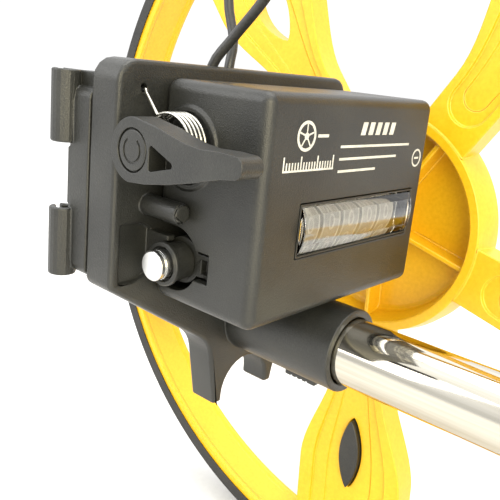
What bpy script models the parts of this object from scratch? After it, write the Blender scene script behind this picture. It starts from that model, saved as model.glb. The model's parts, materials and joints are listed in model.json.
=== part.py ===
"""A measuring wheel: a one-metre wheel, its geared counter, and a folding tube handle with two cable controls.

X runs along the handle away from the wheel, Y along the axle from the lever face towards the wheel, Z up.
The origin is the centre of the axle's outer end face. Lengths here are millimetres; MM turns them into metres.
"""

import math

import bmesh
import bpy
from mathutils import Vector

MM = 0.001
GAP = 0.3  # running clearance between two pieces

# Axle and wheel
AXLE_RADIUS = 4.1
AXLE_LENGTH = 139.0
AXLE_BORE = AXLE_RADIUS + GAP
WHEEL_RADIUS = 1000.0 / (2.0 * math.pi)  # one turn of the tyre is one metre
TYRE_NEAR, TYRE_FAR = 105.0, 126.7
TYRE_DEPTH = 3.5
RIM_OUTER = WHEEL_RADIUS - TYRE_DEPTH - GAP
RIM_INNER = 149.4
RIM_NEAR, RIM_FAR = 105.8, 126.0
CUP_NEAR, CUP_FAR = 110.1, 124.6
CUP_MOUTH, CUP_OUTER = 40.1, 45.1
CUP_FLOOR = 3.0
HUB_RADIUS, HUB_NEAR = 9.0, 113.0
SPOKE_COUNT = 5
SPOKE_FIRST = math.radians(-87.0)
SPOKE_NEAR, SPOKE_FAR = 110.6, 122.0
SPOKE_NARROW, SPOKE_WIDE = 11.0, 25.0  # half widths at the hub and at the rim
SLOT_START, SLOT_END, SLOT_HALF = 84.0, 121.0, 7.8
PLUG_HALF = 4.7

# Counter housing and the plate behind it
FACE = 8.5  # the lever face
HOUSING_FAR = 91.0
HOUSING_FRONT = 28.2
HOUSING_TOP, HOUSING_BOTTOM = 48.5, -12.1
WALL = 2.4
PLATE_FRONT, PLATE_BACK = -9.0, -20.3
PLATE_LEFT, PLATE_RIGHT, PLATE_TOP = -6.3, 94.5, 52.3
COVER_BACK = -30.0
COVER_TOP, COVER_BOTTOM = 44.0, -8.0
BARREL = (-31.2, -6.4)  # x and y of the stand barrels
BARREL_RADIUS, BARREL_BORE = 3.9, 2.1
BARREL_SPANS = ((28.5, 47.9), (-9.3, 10.3))

POST = (5.3, 14.5)  # y and z of the lever's stop post
POST_RADIUS, POST_END = 2.9, 5.2
BUSH_FLANGE, BUSH_BODY = 6.1, 5.4

# Window and counter train
WINDOW_Y, WINDOW_Z = (24.5, 84.5), (5.3, 20.5)
DRUM_AXIS = (15.5, 13.0)
DRUM_RADIUS, DRUM_WIDTH, DRUM_PITCH, DRUM_FIRST = 10.4, 9.3, 10.0, 68.0
DRUM_COUNT = 5
PINION_AXIS = (8.9, 25.5)
IDLER_AXIS = (DRUM_AXIS[0] / 2.0, DRUM_AXIS[1] / 2.0)
GEAR_NEAR, GEAR_FAR = 84.6, 87.6
GEAR_TIP, GEAR_ROOT = 6.1, 5.3
IDLER_TIP, IDLER_ROOT = 3.6, 2.7

# Reset lever and its spring
LEVER_AXIS = (1.7, 31.2)
LEVER_FRONT, LEVER_BACK = -9.7, -2.6
LEVER_HEAD = 7.6
SPRING_RADIUS, SPRING_WIRE, SPRING_PITCH, SPRING_TURNS = 8.7, 0.5, 1.15, 4.4
SPRING_STEPS = 14  # per turn

# Handle tube, saddle clip and fold joint
TUBE_Y, TUBE_Z, TUBE_RADIUS, TUBE_WALL = 54.1, -27.7, 10.45, 1.3
TUBE_BORE = TUBE_RADIUS + GAP
SOCKET_RADIUS, SOCKET_END = 13.2, 32.0
SADDLE_Z, SADDLE_RADIUS = -56.0, 11.2
FOLD_X = 385.0
FOLD_Z = (TUBE_Z + SADDLE_Z) / 2.0  # halfway, so that the folded tube lands in the saddle
COLLAR_RADIUS = 13.2
LUG_RADIUS, LUG_BORE, FOLD_PIN = 3.8, 2.8, 2.5
TUBE_LOW_END, TUBE_HIGH_START, TUBE_HIGH_END = 374.0, 396.4, 812.0

# Grip, trigger and thumb lever
GRIP_START, GRIP_END = 798.0, 938.0
SLEEVE_SPAN = (852.0, 926.0)
SLEEVE_INNER, SLEEVE_OUTER = 13.3, 16.0
TRIGGER_AXIS = (818.0, -46.7)
THUMB_AXIS = (822.0, -9.2)

# Control cables
CABLE_RADIUS = 1.5
CABLE_OFFSET, CABLE_ANGLE = 15.2, math.radians(40.0)
CABLE_SIDE = CABLE_OFFSET * math.sin(CABLE_ANGLE)
CABLE_Z = TUBE_Z + CABLE_OFFSET * math.cos(CABLE_ANGLE)
CABLE_STEP = 9.0
CABLE_END = 808.0
CABLE_EXITS = ((-14.0, 30.8), (-15.0, 38.9))  # x and y of the two holes in the plate's top edge

# Colour, roughness and metallic value of each material
BLACK_PLASTIC = ((0.045, 0.045, 0.043), 0.55, 0.0)
GRIP_PLASTIC = ((0.03, 0.03, 0.03), 0.5, 0.0)
RUBBER = ((0.02, 0.02, 0.02), 0.8, 0.0)
YELLOW_PLASTIC = ((0.93, 0.68, 0.06), 0.45, 0.0)
CHROME = ((0.82, 0.82, 0.82), 0.08, 1.0)
STEEL = ((0.62, 0.62, 0.63), 0.28, 1.0)
BRASS = ((0.75, 0.56, 0.25), 0.3, 1.0)
CLEAR = ((0.85, 0.88, 0.88), 0.05, 0.0)
WHITE_PLASTIC = ((0.8, 0.8, 0.78), 0.5, 0.0)
CABLE_JACKET = ((0.025, 0.025, 0.025), 0.45, 0.0)


# ---------- outlines ----------


def arc(centre, radius, start, end, steps):
    """Points on an arc, from one angle in degrees to the other."""
    angles = [math.radians(start + (end - start) * i / steps) for i in range(steps + 1)]
    return [(centre[0] + radius * math.cos(a), centre[1] + radius * math.sin(a)) for a in angles]


def rounded(corners, steps=4):
    """An outline from (u, v, radius) corners, each with an arc of its radius."""
    points = []
    for i, (u, v, radius) in enumerate(corners):
        corner = Vector((u, v))
        before = (Vector(corners[i - 1][:2]) - corner).normalized()
        after = (Vector(corners[(i + 1) % len(corners)][:2]) - corner).normalized()
        half = before.angle(after) / 2.0
        if radius <= 0.0 or abs(math.cos(half)) < 1e-4:
            points.append((u, v))
            continue
        centre = corner + (before + after).normalized() * radius / math.sin(half)
        first = corner + before * radius / math.tan(half) - centre
        last = corner + after * radius / math.tan(half) - centre
        turn = math.atan2(first.x * last.y - first.y * last.x, first.dot(last))
        base = math.atan2(first.y, first.x)
        for k in range(steps + 1):
            angle = base + turn * k / steps
            points.append((centre.x + radius * math.cos(angle), centre.y + radius * math.sin(angle)))
    return points


def round_ended(end_arc, corners, steps=4):
    """An outline made of an arc and rounded corners."""
    return rounded([(u, v, 0.0) for u, v in end_arc] + corners, steps)


def rectangle(u_span, v_span, radius=0.0, steps=3):
    (u0, u1), (v0, v1) = u_span, v_span
    return rounded([(u0, v0, radius), (u1, v0, radius), (u1, v1, radius), (u0, v1, radius)], steps)


def gear_outline(centre, tip, root, teeth):
    """A closed outline of straight-sided teeth."""
    points = []
    for tooth in range(teeth):
        for share, radius in ((-0.36, root), (-0.18, tip), (0.18, tip), (0.36, root)):
            angle = 2.0 * math.pi * (tooth + share) / teeth
            points.append((centre[0] + radius * math.cos(angle), centre[1] + radius * math.sin(angle)))
    return points


# ---------- solids ----------


def in_space(axis, u, v, w):
    """A point whose outline coordinates are u and v, at w along the axis."""
    return {"X": (w, u, v), "Y": (u, w, v), "Z": (u, v, w)}[axis]


def prism(outline, axis, low, high):
    """An outline pushed along an axis."""
    mesh = bmesh.new()
    near = [mesh.verts.new(in_space(axis, u, v, low)) for u, v in outline]
    far = [mesh.verts.new(in_space(axis, u, v, high)) for u, v in outline]
    mesh.faces.new(near)
    mesh.faces.new(far)
    for i in range(len(outline)):
        j = (i + 1) % len(outline)
        mesh.faces.new((near[i], near[j], far[j], far[i]))
    bmesh.ops.recalc_face_normals(mesh, faces=mesh.faces)
    return mesh


def turned(profile, axis, centre, steps=24):
    """A closed profile of (radius, height) points turned about an axis; a radius of 0 is a point on it."""
    mesh = bmesh.new()
    rings = []
    for radius, height in profile:
        count = steps if radius > 0.0 else 1
        ring = []
        for k in range(count):
            angle = 2.0 * math.pi * k / steps
            u = centre[0] + radius * math.cos(angle)
            v = centre[1] + radius * math.sin(angle)
            ring.append(mesh.verts.new(in_space(axis, u, v, height)))
        rings.append(ring)
    for i, first in enumerate(rings):
        second = rings[(i + 1) % len(rings)]
        for k in range(steps):
            j = (k + 1) % steps
            corners = [first[k % len(first)], first[j % len(first)], second[j % len(second)], second[k % len(second)]]
            corners = list(dict.fromkeys(corners))
            if len(corners) > 2:
                mesh.faces.new(corners)
    bmesh.ops.recalc_face_normals(mesh, faces=mesh.faces)
    return mesh


def rod(axis, centre, radius, low, high, steps=24):
    return turned([(0.0, low), (radius, low), (radius, high), (0.0, high)], axis, centre, steps)


def ring(axis, centre, inner, outer, low, high, steps=24):
    return turned([(inner, low), (outer, low), (outer, high), (inner, high)], axis, centre, steps)


def chamfered_rod(axis, centre, radius, low, high, chamfer, steps=24):
    profile = [
        (0.0, low),
        (radius - chamfer, low),
        (radius, low + chamfer),
        (radius, high - chamfer),
        (radius - chamfer, high),
        (0.0, high),
    ]
    return turned(profile, axis, centre, steps)


def block(x_span, y_span, z_span, radius=0.0, segments=2):
    """A box, with every edge rounded when a radius is given."""
    mesh = prism(rectangle(x_span, y_span), "Z", *z_span)
    if radius > 0.0:
        bmesh.ops.bevel(
            mesh, geom=mesh.edges, offset=radius, segments=segments, profile=0.5, affect="EDGES", clamp_overlap=True
        )
    return mesh


# ---------- scene ----------


def material(name, look):
    colour, roughness, metallic = look
    made = bpy.data.materials.new(name + "_material")
    made.use_nodes = True
    shader = made.node_tree.nodes["Principled BSDF"]
    shader.inputs["Base Color"].default_value = (*colour, 1.0)
    shader.inputs["Roughness"].default_value = roughness
    shader.inputs["Metallic"].default_value = metallic
    if look is CLEAR:
        shader.inputs["Transmission Weight"].default_value = 1.0
    made.diffuse_color = (*colour, 1.0)
    return made


def placed(name, mesh, origin=(0.0, 0.0, 0.0)):
    """An object in metres whose origin is the given point, from a bmesh in millimetres."""
    bmesh.ops.translate(mesh, verts=mesh.verts, vec=-Vector(origin))
    bmesh.ops.scale(mesh, verts=mesh.verts, vec=(MM, MM, MM))
    data = bpy.data.meshes.new(name)
    mesh.to_mesh(data)
    mesh.free()
    made = bpy.data.objects.new(name, data)
    made.location = Vector(origin) * MM
    bpy.context.scene.collection.objects.link(made)
    return made


def node(name, mesh, look, origin=(0.0, 0.0, 0.0)):
    made = placed(name, mesh, origin)
    made.data.materials.append(material(name, look))
    return made


def combine(target, operation, mesh):
    """A Boolean with a hidden helper object."""
    helper = placed(f"{target.name}_helper_{len(target.modifiers)}", mesh)
    helper.hide_render = True
    helper.display_type = "WIRE"
    modifier = target.modifiers.new(operation.title(), "BOOLEAN")
    modifier.operation = operation
    modifier.solver = "EXACT"
    modifier.object = helper


def fuse(target, *meshes):
    for mesh in meshes:
        combine(target, "UNION", mesh)


def cut(target, *meshes):
    for mesh in meshes:
        combine(target, "DIFFERENCE", mesh)


def soften(target, width, segments=1):
    """A bevel on the sharp edges of a solid."""
    modifier = target.modifiers.new("Bevel", "BEVEL")
    modifier.width = width * MM
    modifier.segments = segments
    modifier.limit_method = "ANGLE"
    modifier.angle_limit = math.radians(40.0)


def wire(name, points, radius, look, resolution=2):
    """A round wire or cable along points in millimetres."""
    curve = bpy.data.curves.new(name, "CURVE")
    curve.dimensions = "3D"
    curve.bevel_depth = radius * MM
    curve.bevel_resolution = resolution
    curve.use_fill_caps = True
    spline = curve.splines.new("POLY")
    spline.points.add(len(points) - 1)
    for target, point in zip(spline.points, points):
        target.co = (*(Vector(point) * MM), 1.0)
    made = bpy.data.objects.new(name, curve)
    curve.materials.append(material(name, look))
    bpy.context.scene.collection.objects.link(made)
    return made


def smooth_route(route, step):
    """Points about a step apart on a smooth curve through the route."""
    ends = [Vector(p) for p in route]
    ends = [2.0 * ends[0] - ends[1]] + ends + [2.0 * ends[-1] - ends[-2]]
    points = []
    for i in range(1, len(ends) - 2):
        a, b, c, d = ends[i - 1 : i + 3]
        count = max(1, round((c - b).length / step))
        for k in range(count):
            t = k / count
            bend = 0.5 * (
                2.0 * b + (c - a) * t + (2.0 * a - 5.0 * b + 4.0 * c - d) * t * t + (3.0 * b - a - 3.0 * c + d) * t**3
            )
            points.append(bend)
    points.append(ends[-2])
    return points


# ---------- wheel ----------


def spoke_half(radius):
    """Half the width of a spoke at a distance from the axle."""
    share = min(1.0, max(0.0, (radius - 62.0) / 50.0))
    return SPOKE_NARROW + (SPOKE_WIDE - SPOKE_NARROW) * share * share * (3.0 - 2.0 * share)


def spoke_outline(angle):
    radii = [41.5 + (151.5 - 41.5) * k / 10.0 for k in range(11)]
    sides = [(r, -spoke_half(r)) for r in radii] + [(r, spoke_half(r)) for r in reversed(radii)]
    return turned_outline(sides, angle)


def turned_outline(points, angle):
    cosine, sine = math.cos(angle), math.sin(angle)
    return [(r * cosine - s * sine, r * sine + s * cosine) for r, s in points]


def lens_outline(start, end, half, angle, steps=8):
    """A pointed oval along a spoke."""
    sides = []
    for sign in (-1.0, 1.0):
        side = []
        for k in range(steps + 1):
            share = k / steps
            side.append((start + (end - start) * share, sign * half * math.sin(math.pi * share) ** 0.75))
        sides.append(side)
    return turned_outline(sides[0] + sides[1][-2:0:-1], angle)


def spoke_angles():
    return [SPOKE_FIRST + 2.0 * math.pi * k / SPOKE_COUNT for k in range(SPOKE_COUNT)]


def make_wheel():
    centre = (0.0, 0.0)
    rim = [
        (RIM_INNER, RIM_NEAR),
        (RIM_OUTER, RIM_NEAR),
        (RIM_OUTER, RIM_FAR),
        (RIM_INNER, RIM_FAR),
        (RIM_INNER + 1.0, (RIM_NEAR + RIM_FAR) / 2.0),
    ]
    wheel = node("wheel", turned(rim, "Y", centre, 72), YELLOW_PLASTIC)
    for angle in spoke_angles():
        fuse(wheel, prism(spoke_outline(angle), "Y", SPOKE_NEAR, SPOKE_FAR))
    floor = CUP_FAR - CUP_FLOOR
    cup = [
        (AXLE_BORE, HUB_NEAR),
        (HUB_RADIUS, HUB_NEAR),
        (HUB_RADIUS + 0.6, floor),
        (CUP_MOUTH - 2.0, floor),
        (CUP_MOUTH, CUP_NEAR),
        (CUP_MOUTH + 3.5, CUP_NEAR),
        (CUP_OUTER, CUP_NEAR + 8.0),
        (CUP_OUTER, CUP_FAR),
        (AXLE_BORE, CUP_FAR),
    ]
    cut(wheel, rod("Y", centre, CUP_MOUTH + 1.5, SPOKE_NEAR - 5.0, SPOKE_FAR + 5.0, 40))
    fuse(wheel, turned(cup, "Y", centre, 40))
    for angle in spoke_angles():
        rib = turned_outline([(8.0, -0.9), (39.0, -0.9), (39.0, 0.9), (8.0, 0.9)], angle)
        fuse(wheel, prism(rib, "Y", CUP_NEAR + 3.0, floor + 1.0))
    for angle in spoke_angles()[1:]:
        cut(wheel, prism(lens_outline(SLOT_START, SLOT_END, SLOT_HALF, angle), "Y", SPOKE_NEAR - 2.0, SPOKE_FAR + 2.0))
    pocket = lens_outline(SLOT_START + 1.0, SLOT_END - 3.0, PLUG_HALF + GAP, SPOKE_FIRST)
    cut(wheel, prism(pocket, "Y", SPOKE_NEAR - 2.0, SPOKE_FAR - 3.0))
    plug = lens_outline(SLOT_START + 1.8, SLOT_END - 3.8, PLUG_HALF, SPOKE_FIRST)
    node("index_plug", prism(plug, "Y", SPOKE_NEAR - 0.4, SPOKE_FAR - 3.0 - GAP), BLACK_PLASTIC)

    inner = WHEEL_RADIUS - TYRE_DEPTH
    tyre = [
        (inner, TYRE_NEAR),
        (WHEEL_RADIUS - 0.9, TYRE_NEAR),
        (WHEEL_RADIUS, TYRE_NEAR + 1.2),
        (WHEEL_RADIUS, TYRE_FAR - 1.2),
        (WHEEL_RADIUS - 0.9, TYRE_FAR),
        (inner, TYRE_FAR),
    ]
    node("tyre", turned(tyre, "Y", centre, 72), RUBBER)


def make_axle():
    centre = (0.0, 0.0)
    node("axle", chamfered_rod("Y", centre, AXLE_RADIUS, 0.0, AXLE_LENGTH, 0.6, 32), STEEL)
    node("hub_washer", ring("Y", centre, AXLE_BORE, 11.0, CUP_FAR + GAP, CUP_FAR + 1.7), STEEL)
    low = CUP_FAR + 2.0
    nut = [
        (AXLE_BORE, low),
        (8.5, low),
        (8.5, AXLE_LENGTH - 2.0),
        (6.5, AXLE_LENGTH + 2.0),
        (0.0, AXLE_LENGTH + 3.5),
        (0.0, AXLE_LENGTH + GAP),
        (AXLE_BORE, AXLE_LENGTH + GAP),
    ]
    node("hub_nut", turned(nut, "Y", centre), BLACK_PLASTIC)
    bush = [
        (AXLE_BORE, 3.5),
        (BUSH_FLANGE, 3.5),
        (BUSH_FLANGE, 5.0),
        (BUSH_BODY, 5.2),
        (BUSH_BODY, 10.6),
        (AXLE_BORE, 10.6),
    ]
    node("front_bush", turned(bush, "Y", centre), BLACK_PLASTIC)
    node("rear_bush", ring("Y", centre, AXLE_BORE, 6.1, HOUSING_FAR - WALL - 0.5, HOUSING_FAR + 0.6), BRASS)


# ---------- plate, cover and housing ----------


def plate_outline():
    """The plate's edge: a rounded top, slanted shoulders and the two legs of the saddle clip."""
    leg_out, leg_in, foot = 14.8, SADDLE_RADIUS, SADDLE_Z - 2.6
    left = rounded(
        [
            (PLATE_RIGHT, PLATE_TOP, 6.0),
            (PLATE_LEFT, PLATE_TOP, 6.0),
            (PLATE_LEFT, -8.5, 3.0),
            (TUBE_Y - 19.6, -34.5, 12.0),
            (TUBE_Y - leg_out, foot, 0.8),
            (TUBE_Y - leg_in, foot, 0.0),
            (TUBE_Y + leg_in, foot, 0.0),
            (TUBE_Y + leg_out, foot, 0.8),
            (TUBE_Y + 19.6, -34.5, 12.0),
            (PLATE_RIGHT, -21.6, 4.0),
        ]
    )
    split = next(i for i, p in enumerate(left) if p == (TUBE_Y - leg_in, foot)) + 1
    return left[:split] + arc((TUBE_Y, SADDLE_Z), SADDLE_RADIUS, 180.0, 0.0, 14) + left[split:]


def make_plate():
    plate = node("mounting_plate", prism(plate_outline(), "X", PLATE_BACK, PLATE_FRONT), BLACK_PLASTIC)
    soften(plate, 1.0)
    tube = (TUBE_Y, TUBE_Z)
    fuse(plate, rod("X", tube, SOCKET_RADIUS, PLATE_FRONT - 4.0, SOCKET_END, 40))
    cut(plate, rod("X", tube, TUBE_BORE, -4.4, SOCKET_END + 2.0, 40))
    dish = [(-3.4, 9.4), (-3.4, -7.4)] + arc((1.2, 1.0), 8.4, -90.0, 90.0, 14)
    cut(plate, prism(dish, "X", PLATE_FRONT - 1.4, PLATE_FRONT + 1.0))
    fuse(plate, block((PLATE_FRONT - 2.0, -1.6), (6.6, 9.4), (-6.6, 7.0)))
    cut(plate, rod("Y", (0.0, 0.0), BUSH_BODY + GAP, 5.0, 11.0, 24))
    fuse(plate, chamfered_rod("X", POST, POST_RADIUS, PLATE_FRONT - 1.0, POST_END, 0.6, 20))
    cut(plate, prism(rectangle((-3.4, 91.6), (-5.0, 49.2), 4.0), "X", PLATE_BACK - 1.0, PLATE_FRONT - 3.0))
    for x, y in CABLE_EXITS:
        cut(plate, rod("Z", (x, y), CABLE_RADIUS + GAP, PLATE_TOP - 6.0, PLATE_TOP + 2.0, 16))
    cut(plate, rod("X", (2.0, 45.2), 1.0, PLATE_FRONT - 4.0, PLATE_FRONT + 1.0, 12))
    cut(plate, block((10.6, 23.4), (49.6, 58.6), (TUBE_Z - SOCKET_RADIUS - 1.0, TUBE_Z - TUBE_RADIUS + 1.0)))
    button = block((11.0, 23.0), (50.0, 58.2), (-43.6, -39.6))
    node("socket_button", button, BLACK_PLASTIC)


def make_cover():
    outline = rectangle((PLATE_LEFT, PLATE_RIGHT), (COVER_BOTTOM, COVER_TOP), 3.0)
    cover = node("rear_cover", prism(outline, "X", COVER_BACK, PLATE_BACK - GAP), BLACK_PLASTIC)
    for low, high in BARREL_SPANS:
        fuse(cover, rod("Z", BARREL, BARREL_RADIUS, low, high, 20))
    fuse(cover, block((COVER_BACK, PLATE_BACK - GAP), (-3.4, 2.0), (COVER_TOP - 1.0, BARREL_SPANS[0][1])))
    inside = rectangle((PLATE_LEFT + WALL, PLATE_RIGHT - WALL), (COVER_BOTTOM + WALL, COVER_TOP - WALL), 1.0)
    cut(cover, prism(inside, "X", COVER_BACK + WALL, PLATE_BACK + 1.0))
    x, y = BARREL
    for low, high in BARREL_SPANS:
        cut(cover, rod("Z", BARREL, BARREL_BORE, low - 1.0, high + 1.0, 16))
        cut(cover, block((x - BARREL_RADIUS - 1.0, x), (y - 0.9, y + 0.9), (low - 1.0, high + 1.0)))
    corners = [(y, z) for y in (12.0, 82.0) for z in (2.0, 38.0)]
    for number, corner in enumerate(corners, 1):
        cut(cover, rod("X", corner, 1.9, COVER_BACK - 1.0, COVER_BACK + WALL + 1.0, 12))
        profile = [
            (0.0, COVER_BACK - 1.9),
            (2.4, COVER_BACK - 1.9),
            (3.1, COVER_BACK - 1.2),
            (3.1, COVER_BACK - GAP),
            (1.5, COVER_BACK - GAP),
            (1.5, COVER_BACK + 6.0),
            (0.0, COVER_BACK + 6.0),
        ]
        node(f"cover_screw_{number}", turned(profile, "X", corner, 16), STEEL)


def make_housing():
    shell = block(
        (PLATE_FRONT - 8.0, HOUSING_FRONT), (FACE, HOUSING_FAR), (HOUSING_BOTTOM, HOUSING_TOP), 3.2, 4
    )
    housing = node("counter_housing", shell, BLACK_PLASTIC)
    open_back = PLATE_FRONT + GAP
    fuse(housing, rod("Y", LEVER_AXIS, 12.4, FACE - 1.5, FACE + 1.0, 32))
    inner_y, inner_z = (FACE + WALL, HOUSING_FAR - WALL), (HOUSING_BOTTOM + WALL, HOUSING_TOP - WALL)
    cut(housing, block((PLATE_FRONT - 10.0, open_back), (0.0, 100.0), (-20.0, 60.0)))
    cut(housing, block((PLATE_FRONT - 5.0, HOUSING_FRONT - WALL), inner_y, inner_z))
    kidney = [(-20.0, 9.8), (-20.0, -8.2)] + arc((-0.7, 0.8), 9.0, -90.0, 90.0, 12)
    cut(housing, prism(kidney, "Y", FACE - 3.0, FACE + WALL + 1.0))
    cut(housing, block((4.0, 12.4), (FACE - 2.0, FACE + WALL + 1.0), (-3.4, 4.8)))
    cut(housing, rod("Y", LEVER_AXIS, 2.8, FACE - 4.0, FACE + WALL + 1.0, 16))
    cut(housing, rod("Y", (0.0, 0.0), 6.1 + GAP, HOUSING_FAR - WALL - 1.0, HOUSING_FAR + 2.0, 24))
    recess = HOUSING_FRONT - 1.6
    cut(housing, block((recess, HOUSING_FRONT + 2.0), WINDOW_Y, WINDOW_Z))
    opening_y = (WINDOW_Y[0] + 1.5, WINDOW_Y[1] - 1.5)
    opening_z = (WINDOW_Z[0] + 1.5, WINDOW_Z[1] - 1.5)
    cut(housing, block((recess - 4.0, HOUSING_FRONT), opening_y, opening_z))

    bezel_y, bezel_z = (WINDOW_Y[0] + GAP, WINDOW_Y[1] - GAP), (WINDOW_Z[0] + GAP, WINDOW_Z[1] - GAP)
    bezel = node("window_bezel", block((recess + GAP, HOUSING_FRONT + 0.1), bezel_y, bezel_z), BLACK_PLASTIC)
    cut(bezel, block((recess - 1.0, HOUSING_FRONT + 2.0), opening_y, opening_z))
    middle = sum(WINDOW_Z) / 2.0
    half = (opening_z[1] - opening_z[0]) / 2.0 - GAP
    bulge = 1.8
    radius = (half * half + bulge * bulge) / (2.0 * bulge)
    reach = math.degrees(math.asin(half / radius))
    centre = (HOUSING_FRONT - radius + bulge - 0.2, middle)
    lens = arc(centre, radius, -reach, reach, 10) + arc(centre, radius - 1.1, reach, -reach, 10)
    node("window_lens", prism(lens, "Y", opening_y[0] + GAP, opening_y[1] - GAP), CLEAR)


# ---------- counter train ----------


def make_counter():
    first, last = 24.6, 84.2
    bracket = rectangle((3.6, 23.5), (4.8, 29.2), 1.5)
    frame = node("counter_frame", prism(bracket, "Y", first, last), STEEL)
    cut(frame, block((4.5, 30.0), (first + 0.9, last - 0.9), (0.0, 40.0)))
    cut(frame, rod("Y", DRUM_AXIS, 1.8, first - 1.0, last - 3.0, 16))
    cut(frame, rod("Y", DRUM_AXIS, 3.4, last - 3.0, last + 1.0, 20))
    cut(frame, rod("Y", PINION_AXIS, 1.4, first - 1.0, last + 1.0, 12))
    fuse(frame, rod("Y", IDLER_AXIS, 1.2, last - 0.5, GEAR_FAR + 0.6, 12))

    node("drum_shaft", rod("Y", DRUM_AXIS, 1.5, first - 1.0, GEAR_FAR + 0.8, 16), STEEL)
    node("pinion_shaft", rod("Y", PINION_AXIS, 1.1, first - 0.8, last + 0.8, 12), STEEL)
    x, z = DRUM_AXIS
    for number in range(1, DRUM_COUNT + 1):
        low = DRUM_FIRST - (number - 1) * DRUM_PITCH
        high = low + DRUM_WIDTH
        profile = [
            (1.8, low + 0.8),
            (3.2, low),
            (DRUM_RADIUS - 2.0, low),
            (DRUM_RADIUS, low + 0.4),
            (DRUM_RADIUS, high - 0.4),
            (DRUM_RADIUS - 2.0, high),
            (3.2, high),
            (1.8, high - 0.8),
        ]
        node(f"digit_drum_{number}", turned(profile, "Y", DRUM_AXIS, 24), WHITE_PLASTIC, (x, low, z))
    for number in range(1, DRUM_COUNT):
        middle = DRUM_FIRST - (number - 1) * DRUM_PITCH - (DRUM_PITCH - DRUM_WIDTH) / 2.0
        pinion = prism(gear_outline(PINION_AXIS, 3.2, 2.2, 8), "Y", middle - 2.5, middle + 2.5)
        made = node(f"transfer_pinion_{number}", pinion, BRASS, (PINION_AXIS[0], middle, PINION_AXIS[1]))
        cut(made, rod("Y", PINION_AXIS, 1.1 + GAP, middle - 4.0, middle + 4.0, 12))

    drive = node("drive_gear", prism(gear_outline((0.0, 0.0), GEAR_TIP, GEAR_ROOT, 16), "Y", GEAR_NEAR, GEAR_FAR), BRASS)
    cut(drive, rod("Y", (0.0, 0.0), AXLE_BORE, GEAR_NEAR - 1.0, GEAR_FAR + 1.0, 24))
    idler = prism(gear_outline(IDLER_AXIS, IDLER_TIP, IDLER_ROOT, 9), "Y", GEAR_NEAR, GEAR_FAR)
    idler_gear = node("idler_gear", idler, BRASS, (IDLER_AXIS[0], GEAR_NEAR, IDLER_AXIS[1]))
    cut(idler_gear, rod("Y", IDLER_AXIS, 1.2 + GAP, GEAR_NEAR - 1.0, GEAR_FAR + 1.0, 12))
    output = prism(gear_outline(DRUM_AXIS, GEAR_TIP, GEAR_ROOT, 16), "Y", GEAR_NEAR, GEAR_FAR)
    drum_gear = node("drum_gear", output, BRASS, (x, GEAR_NEAR, z))
    fuse(drum_gear, rod("Y", DRUM_AXIS, 3.0, DRUM_FIRST + DRUM_WIDTH + GAP, GEAR_NEAR + 1.0, 20))
    cut(drum_gear, rod("Y", DRUM_AXIS, 1.8, DRUM_FIRST + DRUM_WIDTH - 1.0, GEAR_FAR + 1.0, 16))


# ---------- reset lever, spring and brake ----------


def make_lever():
    x, z = LEVER_AXIS
    origin = (x, FACE, z)
    node("lever_pivot", chamfered_rod("Y", LEVER_AXIS, 2.5, -7.0, 17.0, 0.4, 20), STEEL)
    head = arc(LEVER_AXIS, LEVER_HEAD, 72.0, 276.0, 18)
    tail = [(20.0, 27.4, 10.0), (37.2, 31.4, 1.0), (37.2, 35.9, 1.0), (22.5, 33.2, 8.0)]
    outline = round_ended(head, tail)
    lever = node("reset_lever", prism(outline, "Y", LEVER_FRONT, LEVER_BACK), BLACK_PLASTIC, origin)
    slope = [(13.0, LEVER_FRONT - 1.0), (13.0, LEVER_FRONT), (25.0, -7.6), (50.0, -7.6), (50.0, LEVER_FRONT - 1.0)]
    cut(lever, prism(slope, "Z", 0.0, 60.0))
    soften(lever, 0.7, 2)
    fuse(lever, rod("Y", LEVER_AXIS, 5.2, LEVER_BACK - 1.0, FACE - 1.5 - GAP, 24))
    cut(lever, rod("Y", LEVER_AXIS, 2.8, -7.4, FACE, 20))
    cut(lever, rod("Y", LEVER_AXIS, 5.1, LEVER_FRONT - 1.0, LEVER_FRONT + 0.9, 24))
    window = rounded([(7.4, 33.6, 0.6), (7.4, 27.4, 0.6), (17.2, 29.4, 0.6), (17.2, 31.6, 0.6)], 2)
    cut(lever, prism(window, "Y", LEVER_FRONT - 1.0, LEVER_BACK - 1.2))
    cap = [
        (0.0, LEVER_FRONT + 0.1),
        (3.9, LEVER_FRONT + 0.1),
        (4.8, LEVER_FRONT + 0.3),
        (4.8, LEVER_FRONT + 0.6),
        (0.0, LEVER_FRONT + 0.6),
    ]
    node("lever_cap", turned(cap, "Y", LEVER_AXIS, 24), BLACK_PLASTIC, origin)

    first = 0.9
    coil = []
    for k in range(round(SPRING_TURNS * SPRING_STEPS) + 1):
        angle = math.radians(118.0) - 2.0 * math.pi * k / SPRING_STEPS
        y = first + SPRING_PITCH * k / SPRING_STEPS
        coil.append((x + SPRING_RADIUS * math.cos(angle), y, z + SPRING_RADIUS * math.sin(angle)))
    hooked = [(PLATE_FRONT - 1.6, 2.0, 45.2), (PLATE_FRONT + 0.4, 2.0, 45.2), (PLATE_FRONT + 1.0, 1.8, 44.4)]
    wire("torsion_spring", hooked + coil, SPRING_WIRE, STEEL)


def make_brake():
    near, far = FACE + WALL + GAP, 15.4
    arm = node("brake_arm", ring("Y", (0.0, 0.0), AXLE_BORE, 6.6, near, far, 28), BLACK_PLASTIC)
    fuse(arm, block((5.4, 14.6), (near, far), (-3.2, 3.2)))
    cut(arm, block((7.4, 13.4), (near - 1.0, near + 2.2), (-2.0, 2.0)))
    pad = [(AXLE_BORE + 0.2, 92.2), (7.6, 92.2), (7.6, 108.0), (8.4, 108.6), (8.4, 110.5), (AXLE_BORE + 0.2, 110.5)]
    node("brake_pad", turned(pad, "Y", (0.0, 0.0), 24), RUBBER, (0.0, 92.2, 0.0))


# ---------- handle ----------


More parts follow.
